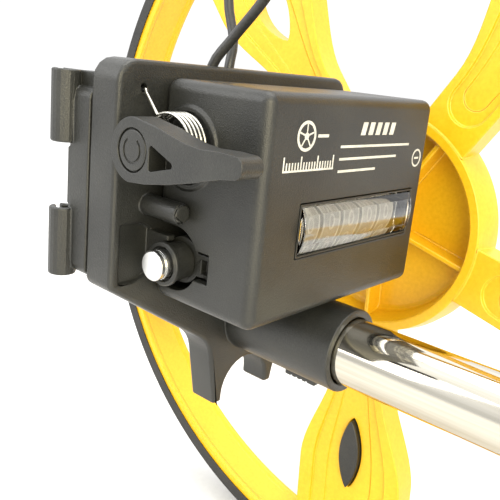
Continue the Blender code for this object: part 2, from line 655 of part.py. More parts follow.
def tube(name, low, high):
    node(name, ring("X", (TUBE_Y, TUBE_Z), TUBE_RADIUS - TUBE_WALL, TUBE_RADIUS, low, high, 32), CHROME)


def lug(side):
    """The side view of a hinge lug: a foot under the collar and a round end about the fold axis."""
    points = [(17.0 * side, TUBE_Z - FOLD_Z - 8.0), (17.0 * side, 1.2), (5.0 * side, 0.3)]
    start, end = (200.0, 420.0) if side < 0.0 else (340.0, 120.0)
    points += arc((0.0, 0.0), LUG_RADIUS, start, end, 12)
    points += [(4.5 * side, TUBE_Z - FOLD_Z - 8.0)]
    return [(FOLD_X + u, FOLD_Z + v) for u, v in points]


def make_fold():
    axis = (TUBE_Y, TUBE_Z)
    base_profile = [
        (TUBE_BORE, 352.0),
        (COLLAR_RADIUS - 0.8, 352.0),
        (COLLAR_RADIUS, 353.0),
        (COLLAR_RADIUS, FOLD_X - 4.0),
        (8.0, FOLD_X - 4.0),
        (8.0, FOLD_X + 3.6),
        (0.0, FOLD_X + 3.6),
        (0.0, TUBE_LOW_END + 0.6),
        (TUBE_BORE, TUBE_LOW_END + 0.6),
    ]
    base = node("fold_base", turned(base_profile, "X", axis, 32), BLACK_PLASTIC)
    for side in (-1.0, 1.0):
        low, high = sorted((TUBE_Y + side * 6.2, TUBE_Y + side * 11.0))
        fuse(base, prism(lug(-1.0), "Y", low, high))
    cut(base, rod("X", axis, TUBE_BORE, 350.0, TUBE_LOW_END + 0.6, 32))
    cut(base, rod("Y", (FOLD_X, FOLD_Z), LUG_BORE, TUBE_Y - 14.0, TUBE_Y + 14.0, 16))
    head_profile = [
        (0.0, FOLD_X + 4.3),
        (COLLAR_RADIUS, FOLD_X + 4.3),
        (COLLAR_RADIUS, 417.0),
        (COLLAR_RADIUS - 0.8, 418.0),
        (TUBE_BORE, 418.0),
        (TUBE_BORE, TUBE_HIGH_START - 0.6),
        (0.0, TUBE_HIGH_START - 0.6),
    ]
    pivot = (FOLD_X, TUBE_Y, FOLD_Z)
    head = node("fold_head", turned(head_profile, "X", axis, 32), BLACK_PLASTIC, pivot)
    fuse(head, prism(lug(1.0), "Y", TUBE_Y - 5.6, TUBE_Y + 5.6))
    cut(head, rod("X", axis, TUBE_BORE, TUBE_HIGH_START - 0.6, 420.0, 32))
    cut(head, rod("Y", (FOLD_X, FOLD_Z), LUG_BORE, TUBE_Y - 14.0, TUBE_Y + 14.0, 16))
    hinge = (FOLD_X, FOLD_Z)
    pin = [
        (0.0, TUBE_Y - 12.0),
        (FOLD_PIN, TUBE_Y - 12.0),
        (FOLD_PIN, TUBE_Y + 11.4),
        (4.0, TUBE_Y + 11.4),
        (4.0, TUBE_Y + 13.6),
        (0.0, TUBE_Y + 13.6),
    ]
    node("fold_pin", turned(pin, "Y", hinge, 16), STEEL)
    near, far = TUBE_Y - 19.0, TUBE_Y - 12.3
    lever = node("fold_lever", chamfered_rod("Y", hinge, 5.4, near, far, 0.6, 20), BLACK_PLASTIC, pivot)
    arm = rounded(
        [(FOLD_X, FOLD_Z + 4.4, 0.0), (FOLD_X, FOLD_Z - 4.4, 0.0), (FOLD_X + 30.0, FOLD_Z - 3.2, 3.0), (FOLD_X + 30.0, FOLD_Z + 3.2, 3.0)]
    )
    fuse(lever, prism(arm, "Y", near + 0.8, near + 4.6))


def cable_points():
    """The side positions of the two cables along the tube."""
    return (TUBE_Y - CABLE_SIDE, TUBE_Y + CABLE_SIDE)


def make_clip(name, x):
    """A snap ring round the tube, with an eye for each cable."""
    axis = (TUBE_Y, TUBE_Z)
    clip = node(name, ring("X", axis, TUBE_BORE, 12.6, x - 4.0, x + 4.0, 20), BLACK_PLASTIC)
    for y in cable_points():
        fuse(clip, rod("X", (y, CABLE_Z), 3.0, x - 3.5, x + 3.5, 10))
    for y in cable_points():
        cut(clip, rod("X", (y, CABLE_Z), CABLE_RADIUS + GAP, x - 6.0, x + 6.0, 10))
    cut(clip, rod("X", axis, TUBE_BORE, x - 6.0, x + 6.0, 20))


def make_grip():
    axis = (TUBE_Y, TUBE_Z)
    profile = [
        (TUBE_BORE, GRIP_START),
        (16.6, GRIP_START),
        (18.2, GRIP_START + 1.6),
        (18.2, GRIP_START + 12.0),
        (15.4, GRIP_START + 17.0),
        (15.4, SLEEVE_SPAN[0] - GAP),
        (SLEEVE_INNER - GAP, SLEEVE_SPAN[0] - GAP),
        (SLEEVE_INNER - GAP, SLEEVE_SPAN[1] + GAP),
        (17.0, SLEEVE_SPAN[1] + GAP),
        (17.0, GRIP_END - 3.0),
        (15.0, GRIP_END),
        (0.0, GRIP_END),
        (0.0, TUBE_HIGH_END + 0.6),
        (TUBE_BORE, TUBE_HIGH_END + 0.6),
    ]
    grip = node("grip_body", turned(profile, "X", axis, 28), GRIP_PLASTIC)
    tx, tz = TRIGGER_AXIS
    bx, bz = THUMB_AXIS
    for side in (-1.0, 1.0):
        low, high = sorted((TUBE_Y + side * 4.6, TUBE_Y + side * 7.0))
        ear = rounded([(tx - 7.0, tz + 10.0, 0.0), (tx - 5.0, tz - 4.0, 3.0), (tx + 5.0, tz - 4.0, 3.0), (tx + 7.0, tz + 10.0, 0.0)])
        fuse(grip, prism(ear, "Y", low, high))
        low, high = sorted((TUBE_Y + side * 4.4, TUBE_Y + side * 6.4))
        ear = rounded([(bx - 6.0, bz - 8.0, 0.0), (bx + 6.0, bz - 8.0, 0.0), (bx + 3.4, bz + 3.0, 2.5), (bx - 3.4, bz + 3.0, 2.5)])
        fuse(grip, prism(ear, "Y", low, high))
    cut(grip, rod("X", axis, TUBE_BORE, GRIP_START - 2.0, TUBE_HIGH_END + 0.6, 32))
    cut(grip, rod("Y", TRIGGER_AXIS, 1.8, TUBE_Y - 9.0, TUBE_Y + 9.0, 12))
    cut(grip, rod("Y", THUMB_AXIS, 1.6, TUBE_Y - 9.0, TUBE_Y + 9.0, 12))
    for y in cable_points():
        cut(grip, rod("X", (y, CABLE_Z), CABLE_RADIUS + GAP, GRIP_START - 1.0, CABLE_END + GAP, 12))

    sleeve = []
    ridges = 6
    pitch = (SLEEVE_SPAN[1] - SLEEVE_SPAN[0]) / ridges
    for k in range(ridges):
        start = SLEEVE_SPAN[0] + k * pitch
        sleeve += [(SLEEVE_OUTER - 0.9, start), (SLEEVE_OUTER, start + 1.6), (SLEEVE_OUTER, start + pitch - 1.6)]
    sleeve += [(SLEEVE_OUTER - 0.9, SLEEVE_SPAN[1]), (SLEEVE_INNER, SLEEVE_SPAN[1]), (SLEEVE_INNER, SLEEVE_SPAN[0])]
    node("grip_sleeve", turned(sleeve, "X", axis, 24), RUBBER)
    cap = [
        (0.0, GRIP_END + GAP),
        (14.6, GRIP_END + GAP),
        (14.6, GRIP_END + 1.2),
        (12.0, GRIP_END + 3.0),
        (0.0, GRIP_END + 3.0),
    ]
    node("grip_end_cap", turned(cap, "X", axis, 24), RUBBER)

    corners = [
        (tx + 14.0, tz - 8.5, 20.0),
        (tx + 44.0, tz - 12.0, 30.0),
        (tx + 68.0, tz - 17.5, 1.6),
        (tx + 69.5, tz - 13.5, 1.6),
        (tx + 44.0, tz - 7.5, 30.0),
        (tx + 16.0, tz - 2.5, 12.0),
        (tx + 5.0, tz + 2.5, 3.0),
    ]
    outline = round_ended(arc(TRIGGER_AXIS, 3.6, 100.0, 250.0, 8), corners)
    trigger = node("brake_trigger", prism(outline, "Y", TUBE_Y - 4.3, TUBE_Y + 4.3), GRIP_PLASTIC, (tx, TUBE_Y, tz))
    cut(trigger, rod("Y", TRIGGER_AXIS, 1.8, TUBE_Y - 9.0, TUBE_Y + 9.0, 12))
    node("trigger_pin", rod("Y", TRIGGER_AXIS, 1.5, TUBE_Y - 7.4, TUBE_Y + 7.4, 12), STEEL)

    corners = [
        (bx + 6.0, bz - 0.6, 2.0),
        (bx + 17.0, bz + 1.6, 4.0),
        (bx + 20.0, bz + 3.4, 0.8),
        (bx + 19.0, bz + 5.0, 0.8),
        (bx + 6.0, bz + 3.2, 6.0),
    ]
    outline = round_ended(arc(THUMB_AXIS, 2.6, 150.0, 290.0, 7), corners)
    lever = node("reset_thumb", prism(outline, "Y", TUBE_Y - 4.1, TUBE_Y + 4.1), GRIP_PLASTIC, (bx, TUBE_Y, bz))
    cut(lever, rod("Y", THUMB_AXIS, 1.6, TUBE_Y - 9.0, TUBE_Y + 9.0, 12))
    node("thumb_pin", rod("Y", THUMB_AXIS, 1.3, TUBE_Y - 6.8, TUBE_Y + 6.8, 12), STEEL)


# ---------- cables ----------


def make_cables():
    """Each cable leaves the plate's top edge, loops over the housing, and runs along the tube through its clips."""
    near, far = cable_points()
    x, y = CABLE_EXITS[0]
    brake_loop = [
        (x, y, 42.0),
        (x, y, PLATE_TOP),
        (-8.0, 32.6, 61.0),
        (0.0, 33.1, 69.5),
        (14.0, 32.5, 84.0),
        (42.0, 34.0, 104.0),
        (85.0, 38.0, 112.0),
        (128.0, 41.5, 94.0),
        (160.0, 43.5, 50.0),
        (184.0, near, 4.0),
        (212.0, near, CABLE_Z + 2.0),
        (240.0, near, CABLE_Z),
    ]
    x, y = CABLE_EXITS[1]
    reset_loop = [
        (x, y, 42.0),
        (x, y, PLATE_TOP),
        (-16.5, 41.4, 60.5),
        (-21.0, 42.5, 72.5),
        (-21.0, 43.5, 88.0),
        (-6.0, 46.0, 110.0),
        (34.0, 50.0, 127.0),
        (85.0, 56.0, 128.0),
        (134.0, 61.0, 104.0),
        (168.0, 63.4, 54.0),
        (190.0, far, 6.0),
        (216.0, far, CABLE_Z + 2.0),
        (244.0, far, CABLE_Z),
    ]
    for name, loop, side in (("brake_cable", brake_loop, near), ("reset_cable", reset_loop, far)):
        lower = smooth_route(loop, CABLE_STEP) + [(FOLD_X - 0.4, side, CABLE_Z)]
        wire(name + "_lower", lower, CABLE_RADIUS, CABLE_JACKET)
        wire(name + "_upper", [(FOLD_X + 0.4, side, CABLE_Z), (CABLE_END, side, CABLE_Z)], CABLE_RADIUS, CABLE_JACKET)


def main():
    for old in list(bpy.data.objects):
        bpy.data.objects.remove(old, do_unlink=True)
    make_wheel()
    make_axle()
    make_plate()
    make_cover()
    make_housing()
    make_counter()
    make_lever()
    make_brake()
    tube("lower_tube", -4.0, TUBE_LOW_END)
    make_fold()
    tube("upper_tube", TUBE_HIGH_START, TUBE_HIGH_END)
    make_grip()
    for number, x in enumerate((262.0, 334.0, 600.0), 1):
        make_clip(f"cable_clip_{number}", x)
    make_cables()


main()
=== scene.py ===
"""The looks of a folding measuring wheel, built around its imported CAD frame.

Lengths are millimetres on the frame's own axes: X along the handle away from the wheel, Y along the
axle and Z up. MM turns them into metres.
"""

import json
import math

import bmesh
import bpy
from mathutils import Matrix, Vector

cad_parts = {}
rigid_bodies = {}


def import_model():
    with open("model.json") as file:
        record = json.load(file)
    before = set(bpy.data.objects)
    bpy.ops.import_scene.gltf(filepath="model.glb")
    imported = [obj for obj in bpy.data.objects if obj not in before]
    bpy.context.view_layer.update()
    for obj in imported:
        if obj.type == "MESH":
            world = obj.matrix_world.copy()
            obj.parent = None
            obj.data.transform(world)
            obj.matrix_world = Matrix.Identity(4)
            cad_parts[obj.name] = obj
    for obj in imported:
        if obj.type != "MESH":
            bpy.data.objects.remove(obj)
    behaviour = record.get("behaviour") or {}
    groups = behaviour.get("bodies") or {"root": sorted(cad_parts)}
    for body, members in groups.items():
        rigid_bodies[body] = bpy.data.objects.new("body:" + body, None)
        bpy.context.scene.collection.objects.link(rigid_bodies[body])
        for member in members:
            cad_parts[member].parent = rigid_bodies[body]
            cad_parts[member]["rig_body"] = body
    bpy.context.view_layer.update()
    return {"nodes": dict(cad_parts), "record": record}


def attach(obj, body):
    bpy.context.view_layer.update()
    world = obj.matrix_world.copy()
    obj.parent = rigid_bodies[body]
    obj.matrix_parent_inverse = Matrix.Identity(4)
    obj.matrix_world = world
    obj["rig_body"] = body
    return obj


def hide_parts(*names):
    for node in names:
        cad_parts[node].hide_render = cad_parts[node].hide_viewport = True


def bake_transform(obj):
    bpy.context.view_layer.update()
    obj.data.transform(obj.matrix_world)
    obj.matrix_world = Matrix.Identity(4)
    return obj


MM = 0.001

# Wheel
AXLE_RADIUS, AXLE_LENGTH, AXLE_BORE = 4.1, 139.0, 4.4
WHEEL_RADIUS = 1000.0 / (2.0 * math.pi)
TYRE_NEAR, TYRE_FAR, TYRE_INNER = 105.0, 126.7, WHEEL_RADIUS - 3.5
RIM_NEAR, RIM_FAR, RIM_INNER = 105.8, 126.0, 149.4
RIM_OUTER = TYRE_INNER - 0.3
CUP_NEAR, CUP_FAR, CUP_FLOOR = 110.1, 124.6, 121.6
CUP_MOUTH, CUP_OUTER = 40.1, 45.1
CUP_WALL, RIM_WALL = 42.4, 150.6  # where a spoke ends inside each wall
HUB_RADIUS, HUB_NEAR = 9.0, 113.0
SPOKE_COUNT, SPOKE_FIRST = 5, math.radians(-87.0)
SPOKE_NEAR, SPOKE_FAR = 110.6, 122.0
SPOKE_NARROW, SPOKE_WIDE = 11.0, 25.0
SPOKE_FLARE = (62.0, 112.0)  # the distances from the axle between which a spoke widens
PANEL_SHARE, PANEL_START, PANEL_END, PANEL_DEPTH = 0.72, 50.0, 147.6, 1.3
INNER_SHARE, INNER_START, INNER_DEPTH = 0.44, 56.0, 1.9
SLOT_START, SLOT_END, SLOT_HALF = 84.0, 121.0, 7.8
PLUG_HALF = 4.7

# Bush round the axle
BUSH_NEAR, BUSH_FAR = 3.5, 10.6
BUSH_FLANGE, BUSH_SLEEVE = 6.1, 5.3

# Counter housing and window
FACE = 8.5
HOUSING_FAR, HOUSING_FRONT, HOUSING_BACK = 91.0, 28.2, -8.7
HOUSING_TOP, HOUSING_BOTTOM, WALL = 48.5, -12.1, 2.4
WINDOW_Y, WINDOW_Z, WINDOW_LIP = (24.5, 84.5), (5.3, 20.5), 0.8
WINDOW_FLOOR = HOUSING_FRONT - 1.6
BOSS_RADIUS, BOSS_INNER, BOSS_PROUD = 11.3, 9.4, 0.7
DRUM_AXIS, DRUM_RADIUS, DRUM_WIDTH = (15.5, 13.0), 10.4, 9.3
DRUM_PITCH, DRUM_FIRST, DRUM_COUNT = 10.0, 68.0, 5
DIGIT_SIZE = 6.6

# Lever, spring and the plate beside them
LEVER_AXIS = (1.7, 31.2)
LEVER_FRONT, LEVER_BACK = -9.7, -2.6
PIVOT_BORE, CAP_RADIUS = 2.8, 5.1
SPRING_RADIUS, SPRING_WIRE, SPRING_PITCH, SPRING_TURNS = 8.2, 0.42, 1.32, 4.6
SPRING_LIFT = 0.9  # how far the loose coil stands off the lever's axis, along X and Z
PLATE_FRONT, PLATE_TOP = -9.0, 52.3

# Button below the tube's socket
BUTTON_X, BUTTON_Y, BUTTON_Z = (11.0, 23.0), (50.0, 58.2), (-42.1, -39.6)

# Handle
TUBE_Y, TUBE_Z, TUBE_RADIUS, TUBE_WALL = 54.1, -27.7, 10.45, 1.3
TUBE_SPANS = {"lower_tube": (-4.0, 374.0), "upper_tube": (396.4, 812.0)}
CABLE_RADIUS, CABLE_OFFSET, CABLE_ANGLE = 1.5, 15.2, math.radians(40.0)
CABLE_SIDE = CABLE_OFFSET * math.sin(CABLE_ANGLE)
CABLE_Z = TUBE_Z + CABLE_OFFSET * math.cos(CABLE_ANGLE)
CABLE_END = 808.0
BEND_START, BEND_END = 372.0, 398.0  # the stretch of each cable at the fold, where its points lie closer together

# Brightness of the sky at the horizon and straight up
SKY_LOW, SKY_HIGH = 1.03, 2.1

# Floor, in metres: how far it lies below the tyre, and how far it reaches
FLOOR_GAP, FLOOR_REACH = 0.0001, 6.0

# Camera: its place in metres, its turns about X, Y and Z in degrees, its focal length and its shift
CAMERA_PLACE = (0.12638, -0.10921, 0.05349)
CAMERA_TURNS = (75.415, -5.847, 40.377)
CAMERA_LENS, CAMERA_SENSOR, CAMERA_SHIFT = 47.099, 36.0, (-0.036, -0.024)


# ---------- outlines ----------


def spread(low, high, steps):
    """Evenly spaced values from low to high."""
    return [low + (high - low) * k / steps for k in range(steps + 1)]


def arc(centre, radius, start, end, steps):
    """Points on an arc, from one angle in degrees to the other."""
    angles = [math.radians(angle) for angle in spread(start, end, steps)]
    return [(centre[0] + radius * math.cos(a), centre[1] + radius * math.sin(a)) for a in angles]


def rounded(corners, steps=6):
    """An outline from (u, v, radius) corners, each with an arc of its radius."""
    points = []
    for i, (u, v, radius) in enumerate(corners):
        corner = Vector((u, v))
        before = (Vector(corners[i - 1][:2]) - corner).normalized()
        after = (Vector(corners[(i + 1) % len(corners)][:2]) - corner).normalized()
        half = before.angle(after) / 2.0
        if radius <= 0.0 or abs(math.cos(half)) < 1e-4:
            points.append((u, v))
            continue
        centre = corner + (before + after).normalized() * radius / math.sin(half)
        first = corner + before * radius / math.tan(half) - centre
        last = corner + after * radius / math.tan(half) - centre
        turn = math.atan2(first.x * last.y - first.y * last.x, first.dot(last))
        base = math.atan2(first.y, first.x)
        for k in range(steps + 1):
            angle = base + turn * k / steps
            points.append((centre.x + radius * math.cos(angle), centre.y + radius * math.sin(angle)))
    return points


def rectangle(u_span, v_span, radius=0.0):
    """A rectangle, with round corners when a radius is given."""
    (u0, u1), (v0, v1) = u_span, v_span
    return rounded([(u0, v0, radius), (u1, v0, radius), (u1, v1, radius), (u0, v1, radius)])


def turned_outline(points, angle):
    """An outline turned about the origin."""
    cosine, sine = math.cos(angle), math.sin(angle)
    return [(r * cosine - s * sine, r * sine + s * cosine) for r, s in points]


def lens_outline(start, end, half, angle, steps=18):
    """A pointed oval along a spoke."""
    shares = spread(0.0, 1.0, steps)
    lower = [(start + (end - start) * t, -half * math.sin(math.pi * t) ** 0.75) for t in shares]
    upper = [(along, -across) for along, across in lower[-2:0:-1]]
    return turned_outline(lower + upper, angle)


def spoke_half(radius):
    """Half the width of a spoke at a distance from the axle."""
    start, end = SPOKE_FLARE
    share = min(1.0, max(0.0, (radius - start) / (end - start)))
    return SPOKE_NARROW + (SPOKE_WIDE - SPOKE_NARROW) * share * share * (3.0 - 2.0 * share)


def spoke_sides(low, high, share, steps):
    """Both sides of a spoke between two distances from the axle, at a share of its width."""
    outward = [(radius, -share * spoke_half(radius)) for radius in spread(low, high, steps)]
    return outward + [(radius, -across) for radius, across in reversed(outward)]


def spoke_angles():
    """The direction of each spoke; the first one holds the index plug."""
    return [SPOKE_FIRST + 2.0 * math.pi * k / SPOKE_COUNT for k in range(SPOKE_COUNT)]


# ---------- solids ----------


def in_space(axis, u, v, w):
    """A point whose outline coordinates are u and v, at w along the axis."""
    return {"X": (w, u, v), "Y": (u, w, v), "Z": (u, v, w)}[axis]


def prism(outline, axis, low, high):
    """An outline pushed along an axis."""
    mesh = bmesh.new()
    near = [mesh.verts.new(in_space(axis, u, v, low)) for u, v in outline]
    far = [mesh.verts.new(in_space(axis, u, v, high)) for u, v in outline]
    mesh.faces.new(near)
    mesh.faces.new(far)
    for i in range(len(outline)):
        j = (i + 1) % len(outline)
        mesh.faces.new((near[i], near[j], far[j], far[i]))
    bmesh.ops.recalc_face_normals(mesh, faces=mesh.faces)
    return mesh


def turned(profile, axis, centre, steps=48):
    """A closed profile of (radius, height) points turned about an axis; a radius of 0 is a point on it."""
    mesh = bmesh.new()
    rings = []
    for radius, height in profile:
        count = steps if radius > 0.0 else 1
        turns = [2.0 * math.pi * k / steps for k in range(count)]
        points = [(centre[0] + radius * math.cos(a), centre[1] + radius * math.sin(a)) for a in turns]
        rings.append([mesh.verts.new(in_space(axis, u, v, height)) for u, v in points])
    for i, first in enumerate(rings):
        second = rings[(i + 1) % len(rings)]
        for k in range(steps):
            j = (k + 1) % steps
            corners = [first[k % len(first)], first[j % len(first)]]
            corners += [second[j % len(second)], second[k % len(second)]]
            corners = list(dict.fromkeys(corners))
            if len(corners) > 2:
                mesh.faces.new(corners)
    bmesh.ops.recalc_face_normals(mesh, faces=mesh.faces)
    return mesh


def rod(axis, centre, radius, low, high, steps=48):
    """A cylinder along an axis."""
    return turned([(0.0, low), (radius, low), (radius, high), (0.0, high)], axis, centre, steps)


def round_edges(mesh, edges, radius, segments):
    """Rounds some of a mesh's edges."""
    bmesh.ops.bevel(
        mesh,
        geom=edges,
        offset=radius,
        segments=segments,
        profile=0.5,
        affect="EDGES",
        clamp_overlap=True,
    )


def block(x_span, y_span, z_span, radius=0.0, segments=6):
    """A box, with every edge rounded when a radius is given."""
    mesh = prism(rectangle(x_span, y_span), "Z", *z_span)
    if radius > 0.0:
        round_edges(mesh, mesh.edges, radius, segments)
    return mesh


def joined(*meshes):
    """Several separate bodies as one mesh."""
    whole = bmesh.new()
    for mesh in meshes:
        data = bpy.data.meshes.new("part")
        mesh.to_mesh(data)
        mesh.free()
        whole.from_mesh(data)
        bpy.data.meshes.remove(data)
    return whole


def swept(points, radius, sides=14):
    """A round tube along points, with closed ends."""
    mesh = bmesh.new()
    rings = []
    side = Vector((0.0, 1.0, 0.0))
    for i, point in enumerate(points):
        ahead = (points[min(i + 1, len(points) - 1)] - points[max(i - 1, 0)]).normalized()
        side = (side - ahead * side.dot(ahead)).normalized()
        up = ahead.cross(side)
        turns = [2.0 * math.pi * k / sides for k in range(sides)]
        ring = [point + radius * (side * math.cos(a) + up * math.sin(a)) for a in turns]
        rings.append([mesh.verts.new(place) for place in ring])
    for first, second in zip(rings, rings[1:]):
        for k in range(sides):
            j = (k + 1) % sides
            mesh.faces.new((first[k], first[j], second[j], second[k]))
    mesh.faces.new(rings[0][::-1])
    mesh.faces.new(rings[-1])
    bmesh.ops.recalc_face_normals(mesh, faces=mesh.faces)
    return mesh


def smooth_route(route, step):
    """Points about a step apart on a smooth curve through the route."""
    ends = [Vector(p) for p in route]
    ends = [2.0 * ends[0] - ends[1]] + ends + [2.0 * ends[-1] - ends[-2]]
    points = []
    for i in range(1, len(ends) - 2):
        a, b, c, d = ends[i - 1 : i + 3]
        count = max(1, round((c - b).length / step))
        for k in range(count):
            t = k / count
            cubic = (3.0 * b - a - 3.0 * c + d) * t**3
            points.append(0.5 * (2.0 * b + (c - a) * t + (2.0 * a - 5.0 * b + 4.0 * c - d) * t * t + cubic))
    points.append(ends[-2])
    return points


# ---------- objects ----------


def in_metres(name, mesh):
    """An object at the frame's origin from a bmesh in millimetres."""
    bmesh.ops.scale(mesh, verts=mesh.verts, vec=(MM, MM, MM))
    data = bpy.data.meshes.new(name)
    mesh.to_mesh(data)
    mesh.free()
    made = bpy.data.objects.new(name, data)
    bpy.context.scene.collection.objects.link(made)
    return made


def carve(made, operation, meshes):
    """Adds or cuts away bodies, one after another, and keeps the result as the object's own mesh."""
    helpers = []
    for mesh in meshes:
        helper = in_metres(made.name + "_helper", mesh)
        helpers.append(helper)
        modifier = made.modifiers.new("Boolean", "BOOLEAN")
        modifier.operation = operation
        modifier.solver = "EXACT"
        modifier.object = helper
    graph = bpy.context.evaluated_depsgraph_get()
    graph.update()
    result = bpy.data.meshes.new_from_object(made.evaluated_get(graph))
    made.modifiers.clear()
    made.data = result
    for helper in helpers:
        bpy.data.objects.remove(helper, do_unlink=True)


def fuse(made, *meshes):
    """Adds bodies to an object."""
    carve(made, "UNION", meshes)


def cut(made, *meshes):
    """Cuts bodies out of an object."""
    carve(made, "DIFFERENCE", meshes)


def smooth(made, bevel=0.0, segments=3, angle=32.0):
    """Rounds the sharp edges, shades the rest smooth and keeps flat faces flat."""
    if bevel > 0.0:
        modifier = made.modifiers.new("Bevel", "BEVEL")
        modifier.width = bevel * MM
        modifier.segments = segments
        modifier.limit_method = "ANGLE"
        modifier.angle_limit = math.radians(angle)
        modifier.use_clamp_overlap = False
        modifier.harden_normals = True
        modifier.miter_outer = "MITER_ARC"
    made.data.shade_smooth()
    made.data.set_sharp_from_angle(angle=math.radians(angle))
    weighted = made.modifiers.new("WeightedNormal", "WEIGHTED_NORMAL")
    weighted.keep_sharp = True


def dress(made, look, body, replaced):
    """Gives a piece its material and its body, and hides the CAD nodes that it stands for.
    """
    made.data.materials.clear()
    made.data.materials.append(LOOKS[look])
    if replaced:
        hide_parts(*replaced)
    if body:
        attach(made, body)
    return made


def refine(node, bevel, segments=2):
    """A CAD node again, with its edges rounded and its own material."""
    mesh = bmesh.new()
    mesh.from_mesh(FRAME["nodes"][node].data)
    bmesh.ops.remove_doubles(mesh, verts=mesh.verts, dist=2e-6)
    data = bpy.data.meshes.new(node + "_shape")
    mesh.to_mesh(data)
    mesh.free()
    made = bpy.data.objects.new(node + "_shape", data)
    bpy.context.scene.collection.objects.link(made)
    smooth(made, bevel, segments)
    return dress(made, SLOTS[node], FRAME["nodes"][node]["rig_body"], [node])


# ---------- materials ----------


def socket(node, name, value):
    """Sets a shader socket to a constant."""
    node.inputs[name].default_value = value


def moulded(name, dark, light, roughness, grain, height, patch=60.0, stretch=(1.0, 1.0, 1.0), fixed=()):
    """A material whose colour drifts between two tones, with a fine surface grain.

    grain and patch are noise scales per metre, height is the grain's depth in millimetres, and fixed
    holds pairs of a shader socket and its constant.
    """
    made = bpy.data.materials.new(name)
    made.use_nodes = True
    nodes, links = made.node_tree.nodes, made.node_tree.links
    shader = nodes["Principled BSDF"]
    for key, value in fixed:
        socket(shader, key, value)
    place = nodes.new("ShaderNodeTexCoord")
    scale = nodes.new("ShaderNodeMapping")
    socket(scale, "Scale", stretch)
    links.new(place.outputs["Object"], scale.inputs["Vector"])
    fine = nodes.new("ShaderNodeTexNoise")
    socket(fine, "Scale", grain)
    socket(fine, "Detail", 3.0)
    coarse = nodes.new("ShaderNodeTexNoise")
    socket(coarse, "Scale", patch)
    socket(coarse, "Detail", 4.0)
    for texture in (fine, coarse):
        links.new(scale.outputs["Vector"], texture.inputs["Vector"])
    blend = nodes.new("ShaderNodeMix")
    blend.data_type = "FLOAT"
    socket(blend, "Factor", 0.5)
    # a mix node has an A and a B for each data type, and those for numbers are its third and fourth inputs
    links.new(fine.outputs["Fac"], blend.inputs[2])
    links.new(coarse.outputs["Fac"], blend.inputs[3])
    tones = nodes.new("ShaderNodeValToRGB")
    tones.color_ramp.elements[0].position = 0.36
    tones.color_ramp.elements[0].color = (*dark, 1.0)
    tones.color_ramp.elements[1].position = 0.64
    tones.color_ramp.elements[1].color = (*light, 1.0)
    links.new(blend.outputs[0], tones.inputs["Fac"])
    links.new(tones.outputs["Color"], shader.inputs["Base Color"])
    sheen = nodes.new("ShaderNodeMapRange")
    socket(sheen, "To Min", roughness * 0.85)
    socket(sheen, "To Max", roughness * 1.15)
    links.new(coarse.outputs["Fac"], sheen.inputs["Value"])
    links.new(sheen.outputs["Result"], shader.inputs["Roughness"])
    bump = nodes.new("ShaderNodeBump")
    socket(bump, "Strength", 1.0)
    socket(bump, "Distance", height * MM)
    links.new(fine.outputs["Fac"], bump.inputs["Height"])
    links.new(bump.outputs["Normal"], shader.inputs["Normal"])
    made.diffuse_color = (*light, 1.0)
    return made


def make_looks():
    """One material for each slot of the record, and one each for printed marks and the drums' digits; the
    digits' material also paints the pale reflections of the drums' rims.

    Each recipe holds the dark and the light tone, the roughness, and the grain's scale and depth.
    """
    recipes = {
        "black_plastic": ((0.008, 0.0085, 0.008), (0.024, 0.0245, 0.022), 0.38, 2600.0, 0.1),
        "grip_plastic": ((0.02, 0.02, 0.02), (0.045, 0.045, 0.045), 0.42, 2000.0, 0.03),
        "yellow_plastic": ((0.67, 0.37, 0.003), (0.77, 0.45, 0.012), 0.36, 700.0, 0.02),
        "drum_plastic": ((0.26, 0.25, 0.22), (0.34, 0.33, 0.3), 0.4, 900.0, 0.01),
        "clear_window": ((0.95, 0.96, 0.98), (1.0, 1.0, 1.0), 0.03, 200.0, 0.005),
        # the chrome's brightness is the metal's own; its warm tint is a painted reflection of warm
        # surroundings
        "chrome": ((0.5, 0.47, 0.39), (0.64, 0.61, 0.54), 0.07, 900.0, 0.0008),
        "steel": ((0.62, 0.62, 0.61), (0.8, 0.8, 0.79), 0.26, 3000.0, 0.004),
        "spring_steel": ((0.42, 0.41, 0.36), (0.56, 0.55, 0.5), 0.24, 1500.0, 0.003),
        "brass": ((0.62, 0.43, 0.16), (0.8, 0.6, 0.28), 0.3, 2000.0, 0.006),
        "tyre": ((0.012, 0.012, 0.012), (0.032, 0.031, 0.03), 0.7, 1500.0, 0.08),
        "rubber": ((0.012, 0.012, 0.012), (0.03, 0.03, 0.029), 0.75, 1800.0, 0.08),
        "cable_jacket": ((0.016, 0.016, 0.016), (0.032, 0.032, 0.032), 0.4, 1400.0, 0.02),
        "print": ((0.4, 0.4, 0.38), (0.6, 0.6, 0.57), 0.55, 3000.0, 0.01),
        # the digits' tone also paints the pale reflections of the drums' rims
        "digits": ((0.4, 0.39, 0.35), (0.5, 0.49, 0.45), 0.5, 2000.0, 0.01),
    }
    metal = [("Metallic", 1.0)]
    glass = [("Transmission Weight", 1.0), ("IOR", 1.49)]
    extras = {
        "yellow_plastic": {"patch": 25.0},
        "clear_window": {"fixed": glass},
        "chrome": {"fixed": metal, "stretch": (0.02, 1.0, 1.0)},
        "steel": {"fixed": metal, "stretch": (1.0, 0.06, 1.0)},
        "spring_steel": {"fixed": metal},
        "brass": {"fixed": metal},
        "print": {"patch": 300.0},
    }
    return {name: moulded(name, *recipe, **extras.get(name, {})) for name, recipe in recipes.items()}


# ---------- wheel ----------


def spoke_solid(angle):
    """A spoke from inside the cup's wall to inside the rim."""
    lean = math.degrees(math.asin(SPOKE_NARROW / CUP_WALL))
    inner = arc((0.0, 0.0), CUP_WALL, lean, -lean, 6)
    sides = spoke_sides(CUP_WALL + 3.6, RIM_WALL, 1.0, 26)
    return prism(turned_outline(inner + sides, angle), "Y", SPOKE_NEAR, SPOKE_FAR)


